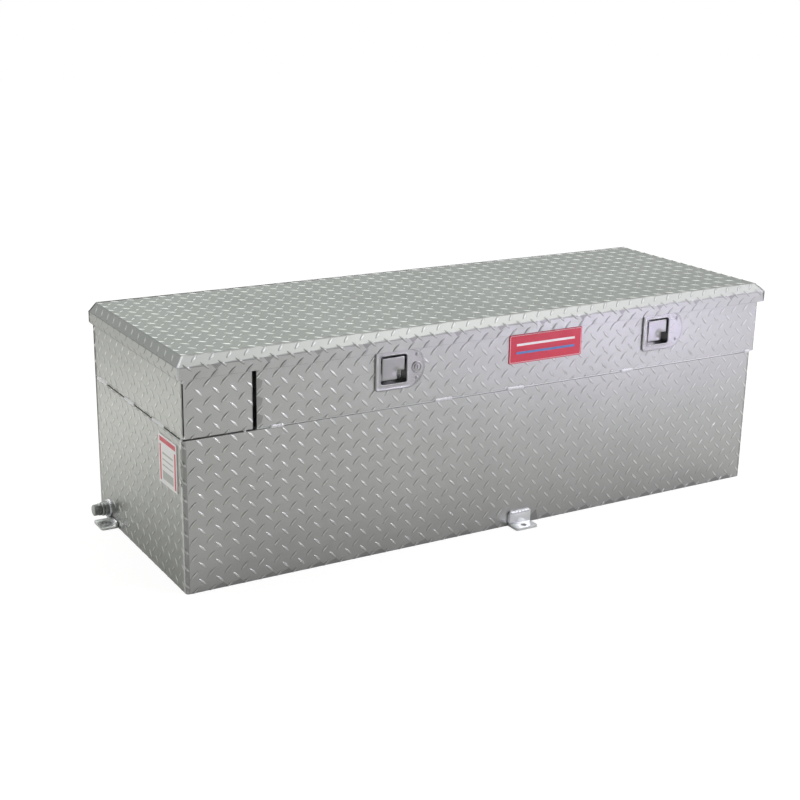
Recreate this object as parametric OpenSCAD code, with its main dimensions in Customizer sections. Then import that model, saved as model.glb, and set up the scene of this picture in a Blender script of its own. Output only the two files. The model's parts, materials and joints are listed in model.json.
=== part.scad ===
// Truck-bed tool box with a built-in fuel tank: tread-plate tank below, pump bay and tool tub
// above it, and one overhanging lid on a full-length hinge at the rear.
// +X runs along the box, -Y is the latch side, and the origin is the middle of the tank's underside.

/* [Tank] */
// Length of the tank
tank_l = 1500; // [1200:10:1800]
// Depth of the tank, latch side to hinge side
tank_d = 515; // [460:5:600]
// Height of the tank
tank_h = 328; // [250:1:450]
// Thickness of the tread plate
plate_t = 3; // [2:0.5:4]
// Outside radius of the tank's bent front corners
bend_r = 8; // [6:1:15]
// Height of the open gap between the tank and the panels above it
seam_gap = 2.5; // [1.5:0.5:4]

/* [Upper box] */
// How far the tub stands past the tank's right end
right_over = 7; // [0:1:15]
// Width of the pump bay, left end to the slot beside the tub
bay_w = 152.5; // [120:0.5:220]
// Width of the slot between the bay's front and the tub
bay_slot = 9; // [5:1:15]
// Height of the front panels' top edge
front_top = 474; // [465:1:476]
// Height of the tub's end walls
end_top = 482; // [475:1:483]

/* [Lid] */
// Height of the lid's top
lid_top = 499; // [495:1:505]
// Height of the skirt's lower edge
skirt_z = 454; // [450:1:456]
// Width of the lid's sloping edge, seen from above
bevel_w = 18; // [14:1:22]
// Height of the lid's sloping edge
bevel_h = 19; // [14:1:22]
// Overhang at the latch side
over_front = 8; // [7:1:12]
// Overhang at the left end
over_left = 9; // [8:1:14]
// Overhang at the right end, past the tub
over_right = 14; // [10:1:18]

/* [Latches] */
// Distance of each latch from the middle of the tub
latch_pitch = 358; // [250:1:450]
// Height of the latch's centre
latch_z = 414; // [405:1:416]
// Radius of the plate's round end
lobe_r = 45; // [40:1:45]
// Width of the recess
pan_w = 63; // [55:1:66]
// Height of the recess
pan_h = 61; // [55:1:64]
// Depth of the recess
pan_d = 24; // [20:1:28]

/* [Fittings] */
// Bore radius of the filler neck
neck_r = 26; // [20:1:30]
// Bolt-hole radius in the mounting tabs
tab_hole_r = 6.75; // [5:0.25:8]
// Width of a mounting tab
tab_w = 58; // [45:1:70]

/* [Hidden] */
$fn = 48;
e = 0.01;
run_gap = 0.05;              // radial clearance of every pin in its bore
alloy = [0.72, 0.73, 0.73];
steel = [0.60, 0.60, 0.62];
black = [0.10, 0.10, 0.10];

// main planes
x_l = -tank_l / 2;
x_r = tank_l / 2;
y_f = -tank_d / 2;
y_b = tank_d / 2;
z_p = tank_h + seam_gap;     // lower edge of the panels above the tank
box_r = x_r + right_over;
tub_l = x_l + bay_w + bay_slot;
tub_mid = (tub_l + box_r) / 2;
latch_x = [tub_mid - latch_pitch, tub_mid + latch_pitch];
lid_l = x_l - over_left;
lid_r = box_r + over_right;
lid_f = y_f - over_front;

// lid hinge
pin_r = 2.4;
knuckle_r = 4;
hinge_y = y_b + knuckle_r;
hinge_z = skirt_z;
rear_gap = 2;                // hinge axis to the sheet edges above and below it
knuckles = 60;
knuckle_l = 25;
hinge_l = knuckles * knuckle_l;
hinge_x = (x_l + box_r) / 2 - hinge_l / 2;
leaf_t = 1.5;
leaf_h = 22;

// lid struts: both pivots lie at the same distance from the hinge, so the strut turns half as far
strut_r = 125;
strut_lift = 13.9;           // angle of the lid's pivot above the hinge, degrees
strut_span = 75;             // angle between the two pivots, seen from the hinge
strut_in = 20;               // strut's plane, from the tub's end wall
lid_pivot = [hinge_y - strut_r * cos(strut_lift), hinge_z + strut_r * sin(strut_lift)];
box_pivot = [hinge_y - strut_r * cos(strut_span - strut_lift),
             hinge_z - strut_r * sin(strut_span - strut_lift)];
strut_tilt = atan2(lid_pivot[1] - box_pivot[1], lid_pivot[0] - box_pivot[0]);
strut_x = [tub_l + plate_t + strut_in, box_r - plate_t - strut_in];
tube_r = 7.5;
rod_r = 3;
eye_r = 8;
eye_w = 8;
eye_pin_r = 4;
tube_end = 130;
rod_l = 128;

// latch
face_t = 2.5;
gasket_t = 1;
pan_t = 1.5;
plate_y = y_f - gasket_t;    // back of the face plate
face_y = plate_y - face_t;   // front of the face plate
pan_back = face_y + pan_d;   // inside of the recess's back
paddle_w = 54;
paddle_h = 48;
paddle_t = 2.5;
paddle_pin = [y_f + 6, latch_z + 22];
paddle_pin_r = 2.5;
finger_w = 18;               // finger cut in the paddle's lower corner
finger_h = 19;
arm_l = 24;
bar_r = 4;
hook_x = -8;                 // hook's pivot, from the latch's centre
hook_z = latch_z + 26;
hook_pin_r = 3;
bar_rise = 16;               // striker bar above the hook's pivot
hook_y = pan_back + pan_t + 11;
hook_t = 5;
key_x = 56;
trip_x = 20;
trip_l = 40;

// --- shared shapes -------------------------------------------------------------------------
module xcyl(r, x0, x1, y, z) translate([x0, y, z]) rotate([0, 90, 0]) cylinder(r = r, h = x1 - x0);
module ycyl(r, y0, y1, x, z) translate([x, y0, z]) rotate([-90, 0, 0]) cylinder(r = r, h = y1 - y0);
module slab(a, b) translate(a) cube(b - a);
// YZ outline drawn along X
module along_x(x0, x1) translate([x0, 0, 0]) rotate([90, 0, 90]) linear_extrude(x1 - x0) children();
// XZ outline drawn along Y
module along_y(y0, y1) translate([0, y1, 0]) rotate([90, 0, 0]) linear_extrude(y1 - y0) children();
module wedge(a0, a1, r = 60) {
    mid = (a0 + a1) / 2;
    polygon([[0, 0], r * [cos(a0), sin(a0)], r * [cos(mid), sin(mid)], r * [cos(a1), sin(a1)]]);
}

// --- tank ------------------------------------------------------------------------------------
// plan of the tank with bent front corners, drawn in by a distance
module tank_plan(inset) {
    r = bend_r - inset;
    x0 = x_l + inset;
    x1 = x_r - inset;
    y0 = y_f + inset;
    translate([x0 + r, y0]) square([x1 - x0 - 2 * r, r]);
    translate([x0, y0 + r]) square([x1 - x0, y_b - inset - y0 - r]);
    for (x = [x0 + r, x1 - r]) translate([x, y0 + r]) circle(r);
}
wrap_y = y_f + bend_r + 2.5;  // where the wrapped corner ends
weld_gap = 1.2;
module tank_front() color(alloy) linear_extrude(tank_h) intersection() {
    difference() { tank_plan(0); tank_plan(plate_t); }
    translate([x_l - 1, y_f - 1]) square([tank_l + 2, wrap_y - y_f + 1]);
}
module tank_rear() color(alloy) slab([x_l, y_b - plate_t, 0], [x_r, y_b, tank_h]);
module tank_end(x0) color(alloy)
    slab([x0, wrap_y + weld_gap, 0], [x0 + plate_t, y_b - plate_t, tank_h]);
outlet_y = 203;
outlet_z = 30;
boss_r = 16;
module tank_left_end() color(alloy) difference() {
    tank_end(x_l);
    xcyl(boss_r, x_l - 1, x_l + plate_t + 1, outlet_y, outlet_z);
}
module tank_right_end() tank_end(x_r - plate_t);
module tank_sheet(z0) translate([0, 0, z0]) linear_extrude(plate_t) tank_plan(plate_t);
module tank_floor() color(alloy) tank_sheet(0);
neck_x = x_l + 80;
neck_y = 60;
neck_t = 4;
neck_top = tank_h + 44;
vent_y = 160;
vent_r = 11;
module tank_top() color(alloy) difference() {
    tank_sheet(tank_h - plate_t);
    translate([neck_x, neck_y, 0]) cylinder(r = neck_r + neck_t, h = tank_h + 1);
    translate([neck_x, vent_y, 0]) cylinder(r = vent_r, h = tank_h + 1);
}
// surge plates with flow holes, and notches at the floor
flow_r = 45;
flow_y = [-150, 0, 150];
notch_y = [-200, 0, 200];
notch = [50, 20];             // width and height
module baffle(x) color(alloy) difference() {
    slab([x - plate_t / 2, y_f + plate_t, plate_t], [x + plate_t / 2, y_b - plate_t, tank_h - plate_t]);
    for (y = flow_y) xcyl(flow_r, x - plate_t, x + plate_t, y, tank_h / 2);
    for (y = notch_y)
        slab([x - plate_t, y - notch[0] / 2, plate_t - 1], [x + plate_t, y + notch[0] / 2, plate_t + notch[1]]);
}
module baffle_left() baffle(-tank_l / 6);
module baffle_right() baffle(tank_l / 6);
// smooth vertical welds that close the wrapped corners; a stretch below the top stays open
corner_weld_z = [[0, 230], [307, tank_h]];
module corner_welds() color(steel) for (x = [x_l, x_r - plate_t], z = corner_weld_z)
    slab([x, wrap_y, z[0]], [x + plate_t, wrap_y + weld_gap, z[1]]);

// --- tank fittings -----------------------------------------------------------------------------
cap_r = 38;
cap_h = 26;
cap_deep = 22.5;              // depth of the cap's bore
grip = 4;                     // half width of a grip rib
cap_z = neck_top - 20;
module filler_neck() color(steel) translate([neck_x, neck_y, 0]) difference() {
    translate([0, 0, tank_h - 14]) cylinder(r = neck_r + neck_t, h = neck_top - tank_h + 14);
    translate([0, 0, tank_h - 15]) cylinder(r = neck_r, h = neck_top - tank_h + 16);
}
module filler_cap() color(black) translate([neck_x, neck_y, cap_z]) difference() {
    union() {
        cylinder(r = cap_r, h = cap_h);
        for (a = [0 : 30 : 330]) rotate(a) translate([cap_r - 2, -grip, 3]) cube([grip, 2 * grip, cap_h - 6]);
    }
    translate([0, 0, -e]) cylinder(r = neck_r + neck_t + 0.4, h = cap_deep);
}
module filler_cap_gasket() color(black) translate([neck_x, neck_y, neck_top + 0.2]) difference() {
    cylinder(r = neck_r + neck_t, h = 2.2);
    translate([0, 0, -1]) cylinder(r = neck_r, h = 5);
}
module vent_valve() color("goldenrod") translate([neck_x, vent_y, 0]) {
    translate([0, 0, tank_h - 12]) cylinder(r = vent_r, h = 26);
    translate([0, 0, tank_h + 14]) cylinder(r = 13, h = 9, $fn = 6);
    translate([0, 0, tank_h + 23]) cylinder(r = 7, h = 16);
    translate([0, 0, tank_h + 39]) cylinder(r = 9, h = 4);
}
boss_out = 19;                // boss, nipple and cap: reach outside the tank's end
nipple_out = 35;
cap_out = 38;
nipple_r = 10;
bore_r = 7;
knob_r = 12.5;
knob_in = 27;                 // where the cap's round part meets its hexagon
hex_r = 14;
hex_l = 7;
module outlet_boss() color(steel) difference() {
    xcyl(boss_r, x_l - boss_out, x_l + plate_t, outlet_y, outlet_z);
    xcyl(nipple_r, x_l - boss_out - 1, x_l + plate_t + 1, outlet_y, outlet_z);
}
module outlet_nipple() color(steel) difference() {
    xcyl(nipple_r, x_l - nipple_out, x_l, outlet_y, outlet_z);
    xcyl(bore_r, x_l - nipple_out - 1, x_l + 1, outlet_y, outlet_z);
}
module outlet_cap() color(steel) difference() {
    union() {
        xcyl(knob_r, x_l - cap_out, x_l - knob_in, outlet_y, outlet_z);
        translate([x_l - knob_in, outlet_y, outlet_z]) rotate([0, 90, 0]) cylinder(r = hex_r, h = hex_l, $fn = 6);
    }
    xcyl(nipple_r + run_gap, x_l - nipple_out - 0.3, x_l - boss_out, outlet_y, outlet_z);
}
// angle bracket welded to the tank's foot: drawn for the latch side, leg on y = 0
tab_t = 5;
tab_leg = [32, 12];            // at the latch side, and at the ends under the outlet
tab_out = 37;
tab_corner = 6;
module tab(leg) color(alloy) difference() {
    union() {
        slab([-tab_w / 2, -tab_t, 0], [tab_w / 2, 0, leg]);
        slab([-tab_w / 2, -tab_out + tab_corner, 0], [tab_w / 2, 0, tab_t]);
        slab([-tab_w / 2 + tab_corner, -tab_out, 0], [tab_w / 2 - tab_corner, 0, tab_t]);
        for (s = [-1, 1]) translate([s * (tab_w / 2 - tab_corner), -tab_out + tab_corner, 0])
            cylinder(r = tab_corner, h = tab_t);
    }
    translate([0, -tab_out / 2 - 2, -1]) cylinder(r = tab_hole_r, h = tab_t + 2);
}
tab_x = 67;
tab_y = 177;
module tab_front() translate([tab_x, y_f, 0]) tab(tab_leg[0]);
module tab_left() translate([x_l, tab_y, 0]) rotate(-90) tab(tab_leg[1]);
module tab_right() translate([x_r, tab_y, 0]) rotate(90) tab(tab_leg[1]);

// --- upper box ---------------------------------------------------------------------------------
corner_slot = 2.5;
bay_front_r = x_l + bay_w;
bay_end_top = 478;
wall_back = y_b - plate_t - 3.5;   // rear edge of the end walls above the rear wall
rear_top = hinge_z - rear_gap - 1;
module bay_front_panel() color(alloy)
    slab([x_l + plate_t + corner_slot, y_f, z_p], [bay_front_r, y_f + plate_t, front_top]);
module end_wall(x, y0, z0, z1) color(alloy) along_x(x, x + plate_t) polygon([[y0, z0],
    [y_b - plate_t, z0], [y_b - plate_t, rear_top], [wall_back, rear_top], [wall_back, z1], [y0, z1]]);
module bay_left_panel() end_wall(x_l, y_f + 1, z_p, bay_end_top);
module box_rear_wall() color(alloy) slab([x_l, y_b - plate_t, tank_h], [box_r, y_b, rear_top]);
module tub_front_wall() color(alloy) difference() {
    slab([tub_l, y_f, z_p], [box_r, y_f + plate_t, front_top]);
    for (x = latch_x) slab([x - pan_w / 2 - pan_t - 0.5, y_f - 1, latch_z - pan_h / 2 - pan_t - 0.5],
        [x + pan_w / 2 + pan_t + 0.5, y_f + plate_t + 1, latch_z + pan_h / 2 + pan_t + 0.5]);
    ycyl(barrel_r, y_f - 1, y_f + plate_t + 1, latch_x[0] + key_x, latch_z - 1);
    for (x = latch_x, z = rivet_z) ycyl(rivet_r, y_f - 1, y_f + plate_t + 1, x + key_x, z);
}
module tub_left_wall() end_wall(tub_l, y_f + plate_t, tank_h + plate_t, end_top);
module tub_right_wall() end_wall(box_r - plate_t, y_f + plate_t, tank_h + plate_t, end_top);
module tub_floor() color(alloy)
    slab([tub_l, y_f + plate_t, tank_h], [box_r, y_b - plate_t, tank_h + plate_t]);

// stitch welds: each fills the gap and stands proud as a half-round bead
bead_r = 3;
front_beads = [[-618, -612], [-560, -528], [-169, -124], [20, 66], [341, 377], [727, 747]];
end_beads = [[-254, -248], [-160, -94], [10, 70], [180, 245]];
module bead(l) intersection() {
    union() {
        rotate([0, 90, 0]) cylinder(r = bead_r, h = l);
        slab([0, 0, -seam_gap / 2], [l, plate_t, seam_gap / 2]);
    }
    union() {
        slab([0, -bead_r, -bead_r], [l, 0, bead_r]);
        slab([0, -bead_r, -seam_gap / 2], [l, plate_t, seam_gap / 2]);
    }
}
tack_z = [[333, 338], [446, 452]];
module seam_welds() color(steel) {
    zc = tank_h + seam_gap / 2;
    for (b = front_beads) translate([b[0], y_f, zc]) bead(b[1] - b[0]);
    for (b = end_beads) translate([x_l, b[1], zc]) rotate(-90) bead(b[1] - b[0]);
    for (z = tack_z) slab([x_l + plate_t, y_f, z[0]], [x_l + plate_t + corner_slot, y_f + plate_t, z[1]]);
}

// edge seal round the tub: a clip over each wall and a bulb above it
trim = 2;
bulb_r = [7, 5.2];
bulb_x = [tub_l + plate_t + 3, box_r - 7.2];
module tub_seal() color(black) {
    x0 = tub_l + plate_t + 0.2;
    x1 = box_r - plate_t - 0.2;
    difference() {
        union() {
            slab([x0, y_f - 1.5, front_top - 12], [x1, y_f + plate_t + trim, front_top + trim]);
            xcyl(bulb_r[0], x0, x1, y_f + 7.5, front_top + 7);
        }
        slab([tub_l - 1, y_f, front_top - 13], [box_r + 1, y_f + plate_t, front_top]);
        xcyl(bulb_r[0] - 1.5, tub_l - 1, box_r + 1, y_f + 7.5, front_top + 7);
    }
    for (i = [0, 1]) {
        x = [tub_l, box_r - plate_t][i];
        y0 = y_f + 16;
        difference() {
            union() {
                slab([x - 1.5, y0, end_top - 12], [x + plate_t + 1.5, wall_back, end_top + trim]);
                ycyl(bulb_r[1], y0, wall_back, bulb_x[i], end_top + 7);
            }
            slab([x, y0 - 1, end_top - 13], [x + plate_t, wall_back + 1, end_top]);
            ycyl(bulb_r[1] - 1.5, y0 - 1, wall_back + 1, bulb_x[i], end_top + 7);
        }
    }
}

// --- lid ---------------------------------------------------------------------------------------
drop = plate_t * sqrt(bevel_w * bevel_w + bevel_h * bevel_h) / bevel_w;   // slope moved in by a plate
bevel_z = lid_top - bevel_h;
function slope_z(d) = bevel_z - drop + bevel_h / bevel_w * d;   // inner slope, d in from the skirt
function slope_d(z) = (z - bevel_z + drop) * bevel_w / bevel_h;
in_z = lid_top - plate_t;
module lid_solid(inner) {
    t = inner ? plate_t : 0;
    z0 = skirt_z - (inner ? 1 : 0);
    z1 = inner ? in_z : lid_top;
    zs = inner ? slope_z(plate_t) : bevel_z;
    d = inner ? slope_d(in_z) : bevel_w;
    intersection() {
        along_y(lid_f - 1, y_b + 1) polygon([[lid_l + t, z0], [lid_r - t, z0], [lid_r - t, zs],
            [lid_r - d, z1], [lid_l + d, z1], [lid_l + t, zs]]);
        along_x(lid_l - 1, lid_r + 1) polygon([[lid_f + t, z0], [y_b - t, z0], [y_b - t, z1],
            [lid_f + d, z1], [lid_f + t, zs]]);
    }
}
module lid_shell() color(alloy) difference() {
    lid_solid(false);
    lid_solid(true);
    slab([lid_l - 1, y_b - plate_t - e, skirt_z - 1], [lid_r + 1, y_b + 1, hinge_z + rear_gap]);
}
// two hat channels welded under the lid
hat_w = 60;
hat_h = 16;
hat_lip = 15;
hat_t = 2;
hat_y = [-120, 70];
module lid_stiffeners() color(alloy) for (y = hat_y) along_x(tub_l + 50, box_r - 50) difference() {
    union() {
        translate([y - hat_w / 2, in_z - hat_h]) square([hat_w, hat_h]);
        translate([y - hat_w / 2 - hat_lip, in_z - hat_t]) square([hat_w + 2 * hat_lip, hat_t]);
    }
    translate([y - hat_w / 2 + hat_t, in_z - hat_h + hat_t]) square([hat_w - 2 * hat_t, hat_h]);
}

// --- hinge -------------------------------------------------------------------------------------
module knuckle_row(first, z0, z1) difference() {
    for (i = [first : 2 : knuckles - 1]) {
        x0 = hinge_x + i * knuckle_l + 0.2;
        x1 = x0 + knuckle_l - 0.4;
        xcyl(knuckle_r, x0, x1, hinge_y, hinge_z);
        slab([x0, y_b, min(z0, z1)], [x1, y_b + leaf_t, max(z0, z1)]);
    }
    xcyl(pin_r + run_gap, hinge_x - 1, hinge_x + hinge_l + 1, hinge_y, hinge_z);
}
leaf_gap = knuckle_r + 0.2;
module hinge_body_leaf() color(steel) {
    slab([hinge_x, y_b, hinge_z - leaf_gap - leaf_h], [hinge_x + hinge_l, y_b + leaf_t, hinge_z - leaf_gap]);
    knuckle_row(0, hinge_z - leaf_gap, hinge_z - 1);
}
module hinge_lid_leaf() color(steel) {
    slab([hinge_x, y_b, hinge_z + leaf_gap], [hinge_x + hinge_l, y_b + leaf_t, hinge_z + leaf_gap + leaf_h]);
    knuckle_row(1, hinge_z + leaf_gap, hinge_z + 1);
}
module hinge_pin() color(steel) xcyl(pin_r, hinge_x - 1, hinge_x + hinge_l + 1, hinge_y, hinge_z);

// --- gas struts ----------------------------------------------------------------------------------
// places its children at a pivot, with their +Z along the strut
module on_strut(i, pivot, flip) translate([strut_x[i], pivot[0], pivot[1]])
    rotate([strut_tilt - 90 + (flip ? 180 : 0), 0, 0]) children();
module eye() difference() {
    xcyl(eye_r, -eye_w / 2, eye_w / 2, 0, 0);
    xcyl(eye_pin_r + run_gap, -eye_w, eye_w, 0, 0);
}
module strut_tube(i) color(black) on_strut(i, box_pivot, false) {
    eye();
    difference() {
        translate([0, 0, eye_r - 2]) cylinder(r = tube_r, h = tube_end - eye_r + 2);
        xcyl(eye_pin_r + run_gap, -10, 10, 0, 0);
        translate([0, 0, eye_r + 4]) cylinder(r = tube_r - 1, h = tube_end - eye_r - 10);
        translate([0, 0, eye_r + 4]) cylinder(r = rod_r + run_gap, h = tube_end);
    }
}
module strut_rod(i) color(steel) on_strut(i, lid_pivot, true) {
    eye();
    translate([0, 0, eye_r - 1]) cylinder(r = rod_r, h = rod_l - eye_r + 1);
    translate([0, 0, rod_l - 8]) cylinder(r = tube_r - 1 - run_gap, h = 8);
}
module strut_left_tube() strut_tube(0);
module strut_left_rod() strut_rod(0);
module strut_right_tube() strut_tube(1);
module strut_right_rod() strut_rod(1);
// pin with a retaining head, its foot at x = 0 and pointing along +X
module eye_stud(l) {
    xcyl(eye_pin_r, 0, l, 0, 0);
    xcyl(eye_pin_r + 2, l, l + 2, 0, 0);
}
stud_head = eye_w / 2 + 0.6;
module strut_body_studs() color(steel) for (i = [0, 1])
    translate([strut_x[i], box_pivot[0], box_pivot[1]]) mirror([i, 0, 0]) {
        slab([-strut_in, -16, -12], [-strut_in + plate_t, 16, 16]);
        translate([-strut_in + plate_t, 0, 0]) eye_stud(strut_in - plate_t + stud_head);
    }
lid_ear = 9.5;
module strut_lid_studs() color(steel) for (i = [0, 1])
    translate([strut_x[i], lid_pivot[0], lid_pivot[1]]) mirror([i, 0, 0]) {
        slab([-lid_ear, -14, -9], [-lid_ear + plate_t, 14, in_z - lid_pivot[1] - e]);
        slab([-lid_ear, -14, in_z - lid_pivot[1] - 2], [5, 14, in_z - lid_pivot[1] - e]);
        translate([-lid_ear + plate_t, 0, 0]) eye_stud(lid_ear - plate_t + stud_head);
    }

// --- latches -------------------------------------------------------------------------------------
// outline of the face plate about the latch's centre: square to the left, round to the right
lobe_x = 33;
plate_left = 44;
module face_plan(inset) {
    r = lobe_r - inset;
    c = 7 - min(inset, 4);
    translate([lobe_x, 0]) intersection() {
        circle(r);
        translate([-e, -r]) square([r + 1, 2 * r]);
    }
    translate([-plate_left + inset + c, -r]) square([plate_left - inset - c + lobe_x, 2 * r]);
    translate([-plate_left + inset, -r + c]) square([c + 1, 2 * r - 2 * c]);
    for (s = [-1, 1]) translate([-plate_left + inset + c, s * (r - c)]) circle(c);
}
module window(grow, r) {
    w = pan_w / 2 + grow;
    h = pan_h / 2 + grow;
    translate([-w + r, -h]) square([2 * w - 2 * r, 2 * h]);
    translate([-w, -h + r]) square([2 * w, 2 * h - 2 * r]);
    for (sx = [-1, 1], sz = [-1, 1]) translate([sx * (w - r), sz * (h - r)]) circle(r);
}
module at_latch(i) translate([latch_x[i], 0, latch_z]) children();
module latch_pan(i) color(steel) at_latch(i) difference() {
    union() {
        along_y(plate_y - 1.2, plate_y) face_plan(0);
        along_y(face_y, plate_y - 1.2) face_plan(3);
        along_y(plate_y - e, pan_back + pan_t) window(pan_t, 6);
    }
    along_y(face_y - 1, pan_back) window(0, 5);
    slab([trip_x - 7, pan_back - 1, -6], [trip_x + 7, pan_back + pan_t + 1, 26]);
    for (z = rivet_z) ycyl(rivet_r, face_y - 1, plate_y + 1, key_x, z - latch_z);
    if (i == 0) ycyl(barrel_r, face_y - 1, plate_y + 1, key_x, -1);
}
module latch_left_pan() latch_pan(0);
module latch_right_pan() latch_pan(1);

// paddle: flat pull with a finger cut, two ears on the pin and an arm through the recess's back
module latch_paddle(i) color(steel) at_latch(i) difference() {
    union() {
        along_y(y_f - 1, y_f - 1 + paddle_t) difference() {
            translate([-paddle_w / 2, paddle_top - paddle_h]) square([paddle_w, paddle_h]);
            translate([paddle_w / 2 - finger_w, paddle_top - paddle_h - 1]) square([finger_w + 1, finger_h + 1]);
        }
        for (x = [-paddle_w / 2, trip_x - 5]) slab([x, y_f - 1, pin_dz - 7], [x + 3, paddle_pin[0] + 4, pin_dz + 4]);
        slab([trip_x - 5, y_f - 1, pin_dz - 4], [trip_x + 5, paddle_pin[0] + 4, pin_dz + 4]);
        slab([trip_x - 4, paddle_pin[0], pin_dz - 3], [trip_x + 4, paddle_pin[0] + arm_l, pin_dz + 1]);
    }
    xcyl(paddle_pin_r + run_gap, -pan_w / 2, pan_w / 2, paddle_pin[0], pin_dz);
}
paddle_top = 25.5;
pin_dz = paddle_pin[1] - latch_z;
module latch_left_paddle() latch_paddle(0);
module latch_right_paddle() latch_paddle(1);
module paddle_pins() color(steel) for (i = [0, 1]) at_latch(i)
    xcyl(paddle_pin_r, -pan_w / 2, pan_w / 2, paddle_pin[0], pin_dz);

// torsion spring: one wound wire round the paddle's pin, and a straight leg down the recess's back
coil_r = 3.6;
coil_turns = 6;
coil_pitch = 1.9;
wire_r = 0.6;
ring_n = 16;
function coil_at(k) = [coil_pitch * k / ring_n, coil_r * cos(360 * k / ring_n), coil_r * sin(360 * k / ring_n)];
function tube_ring(c, t, n) = let (u = t / norm(t), v = cross(u, [1, 0, 0]), a = v / norm(v), b = cross(u, a))
    [for (j = [0 : n - 1]) c + wire_r * (cos(360 * j / n) * a + sin(360 * j / n) * b)];
module wound_wire(n = 6) {
    last = coil_turns * ring_n;
    pts = [for (k = [0 : last]) coil_at(k)];
    rings = [for (k = [0 : last]) tube_ring(pts[k], pts[min(k + 1, last)] - pts[max(k - 1, 0)], n)];
    polyhedron([for (r = rings) for (p = r) p], concat(
        [for (k = [0 : last - 1], j = [0 : n - 1]) [k * n + j, k * n + (j + 1) % n, (k + 1) * n + (j + 1) % n]],
        [for (k = [0 : last - 1], j = [0 : n - 1]) [k * n + j, (k + 1) * n + (j + 1) % n, (k + 1) * n + j]],
        [[for (j = [n - 1 : -1 : 0]) j]], [[for (j = [0 : n - 1]) last * n + j]]));
}
spring_x = -12;
module paddle_springs() color(steel) for (i = [0, 1]) at_latch(i)
    translate([spring_x, paddle_pin[0], pin_dz]) wound_wire();

// housing behind the recess: two plates that carry the hook's pin and guide the striker bar
plate2_y = hook_y + hook_t + 5.5;
house_t = 2.5;
house_l = -28;
house_r = 28;
bar_z = hook_z + bar_rise;
module latch_housing(i) color(steel) at_latch(i) {
    y0 = pan_back + pan_t;
    difference() {
        union() {
            slab([hook_x + house_l, y0, -34], [hook_x + 20, y0 + house_t, 42]);
            slab([hook_x + house_l, plate2_y, -10], [hook_x + 20, plate2_y + house_t, 42]);
            slab([hook_x + house_l, y0, -12], [hook_x + 14, plate2_y + house_t, -10]);
            ycyl(hook_pin_r, y0, plate2_y + house_t, hook_x, hook_z - latch_z);
            slab([trip_x - 8, y0, -34], [trip_x + 8, y0 + 8, -26]);
            slab([hook_x + 19, y0, -34], [trip_x + 8, y0 + house_t, -26]);
        }
        slab([hook_x - 5.5, y0 - 1, bar_z - latch_z - 6], [hook_x + 5.5, plate2_y + 5, 50]);
        slab([trip_x - 4.3, y0 + 0.2, -36], [trip_x + 4.3, y0 + 4.2, -20]);
    }
}
module latch_left_housing() latch_housing(0);
module latch_right_housing() latch_housing(1);

// hook: turns on the housing's pin and sweeps over the striker bar; drawn released
hook_hub = 11;
hook_in = 21;                 // inside of the claw
hook_out = 26;                // outside of the claw
claw_to = 74;                 // end of the claw, degrees
hook_tail = [23.8, 6];
hook_tail_at = -98;           // direction of the tail, degrees
module latch_hook(i) color(steel) at_latch(i) translate([hook_x, 0, hook_z - latch_z])
    along_y(hook_y, hook_y + hook_t) difference() {
        union() {
            circle(hook_hub);
            intersection() {
                circle(hook_out);
                union() {
                    difference() { wedge(5, claw_to); circle(hook_in); }
                    wedge(-35, 8);
                }
            }
            rotate(hook_tail_at) translate([0, -hook_tail[1] / 2]) square(hook_tail);
        }
        circle(hook_pin_r + run_gap);
    }
module latch_left_hook() latch_hook(0);
module latch_right_hook() latch_hook(1);

// trip: flat bar that the paddle's arm pushes down, with a tooth towards the hook's tail
module latch_trip(i) color(steel) at_latch(i) {
    y0 = pan_back + pan_t + 0.4;
    top = pin_dz - 3.5;
    slab([trip_x - 4, y0, top - trip_l - 12], [trip_x + 4, y0 + 3.4, top]);
    slab([trip_x - 10, y0 + house_t + 0.4, top - 14], [trip_x + 4, hook_y + hook_t, top - 9]);
}
module latch_left_trip() latch_trip(0);
module latch_right_trip() latch_trip(1);

module latch_gaskets() color(black) for (i = [0, 1]) at_latch(i) along_y(plate_y, y_f) difference() {
    face_plan(2);
    window(pan_t + 0.5, 6);
    translate([key_x, -1]) circle(10.5);
    for (z = rivet_z) translate([key_x, z - latch_z]) circle(rivet_r + 0.3);
}
rivet_r = 2.4;
rivet_z = [latch_z - 24, latch_z + 27];
module latch_rivets() color(steel) for (x = latch_x, z = rivet_z) {
    ycyl(rivet_r, face_y, y_f + plate_t, x + key_x, z);
    ycyl(4, face_y - 1.3, face_y, x + key_x, z);
    ycyl(3.6, y_f + plate_t, y_f + plate_t + 2, x + key_x, z);
}
// U-shaped striker under the lid: the bar between its legs is what the hook catches
leg_y = [hook_y - 16, hook_y + hook_t + 14];
leg_t = 3;
module lid_strikers() color(steel) for (x = latch_x) {
    for (y = leg_y) slab([x + hook_x - 7, y - leg_t / 2, bar_z - 7], [x + hook_x + 7, y + leg_t / 2, in_z - 1]);
    ycyl(bar_r, leg_y[0], leg_y[1], x + hook_x, bar_z);
    slab([x + hook_x - 14, leg_y[0] - 3, in_z - 3], [x + hook_x + 14, leg_y[1] + 8, in_z]);
}

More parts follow.
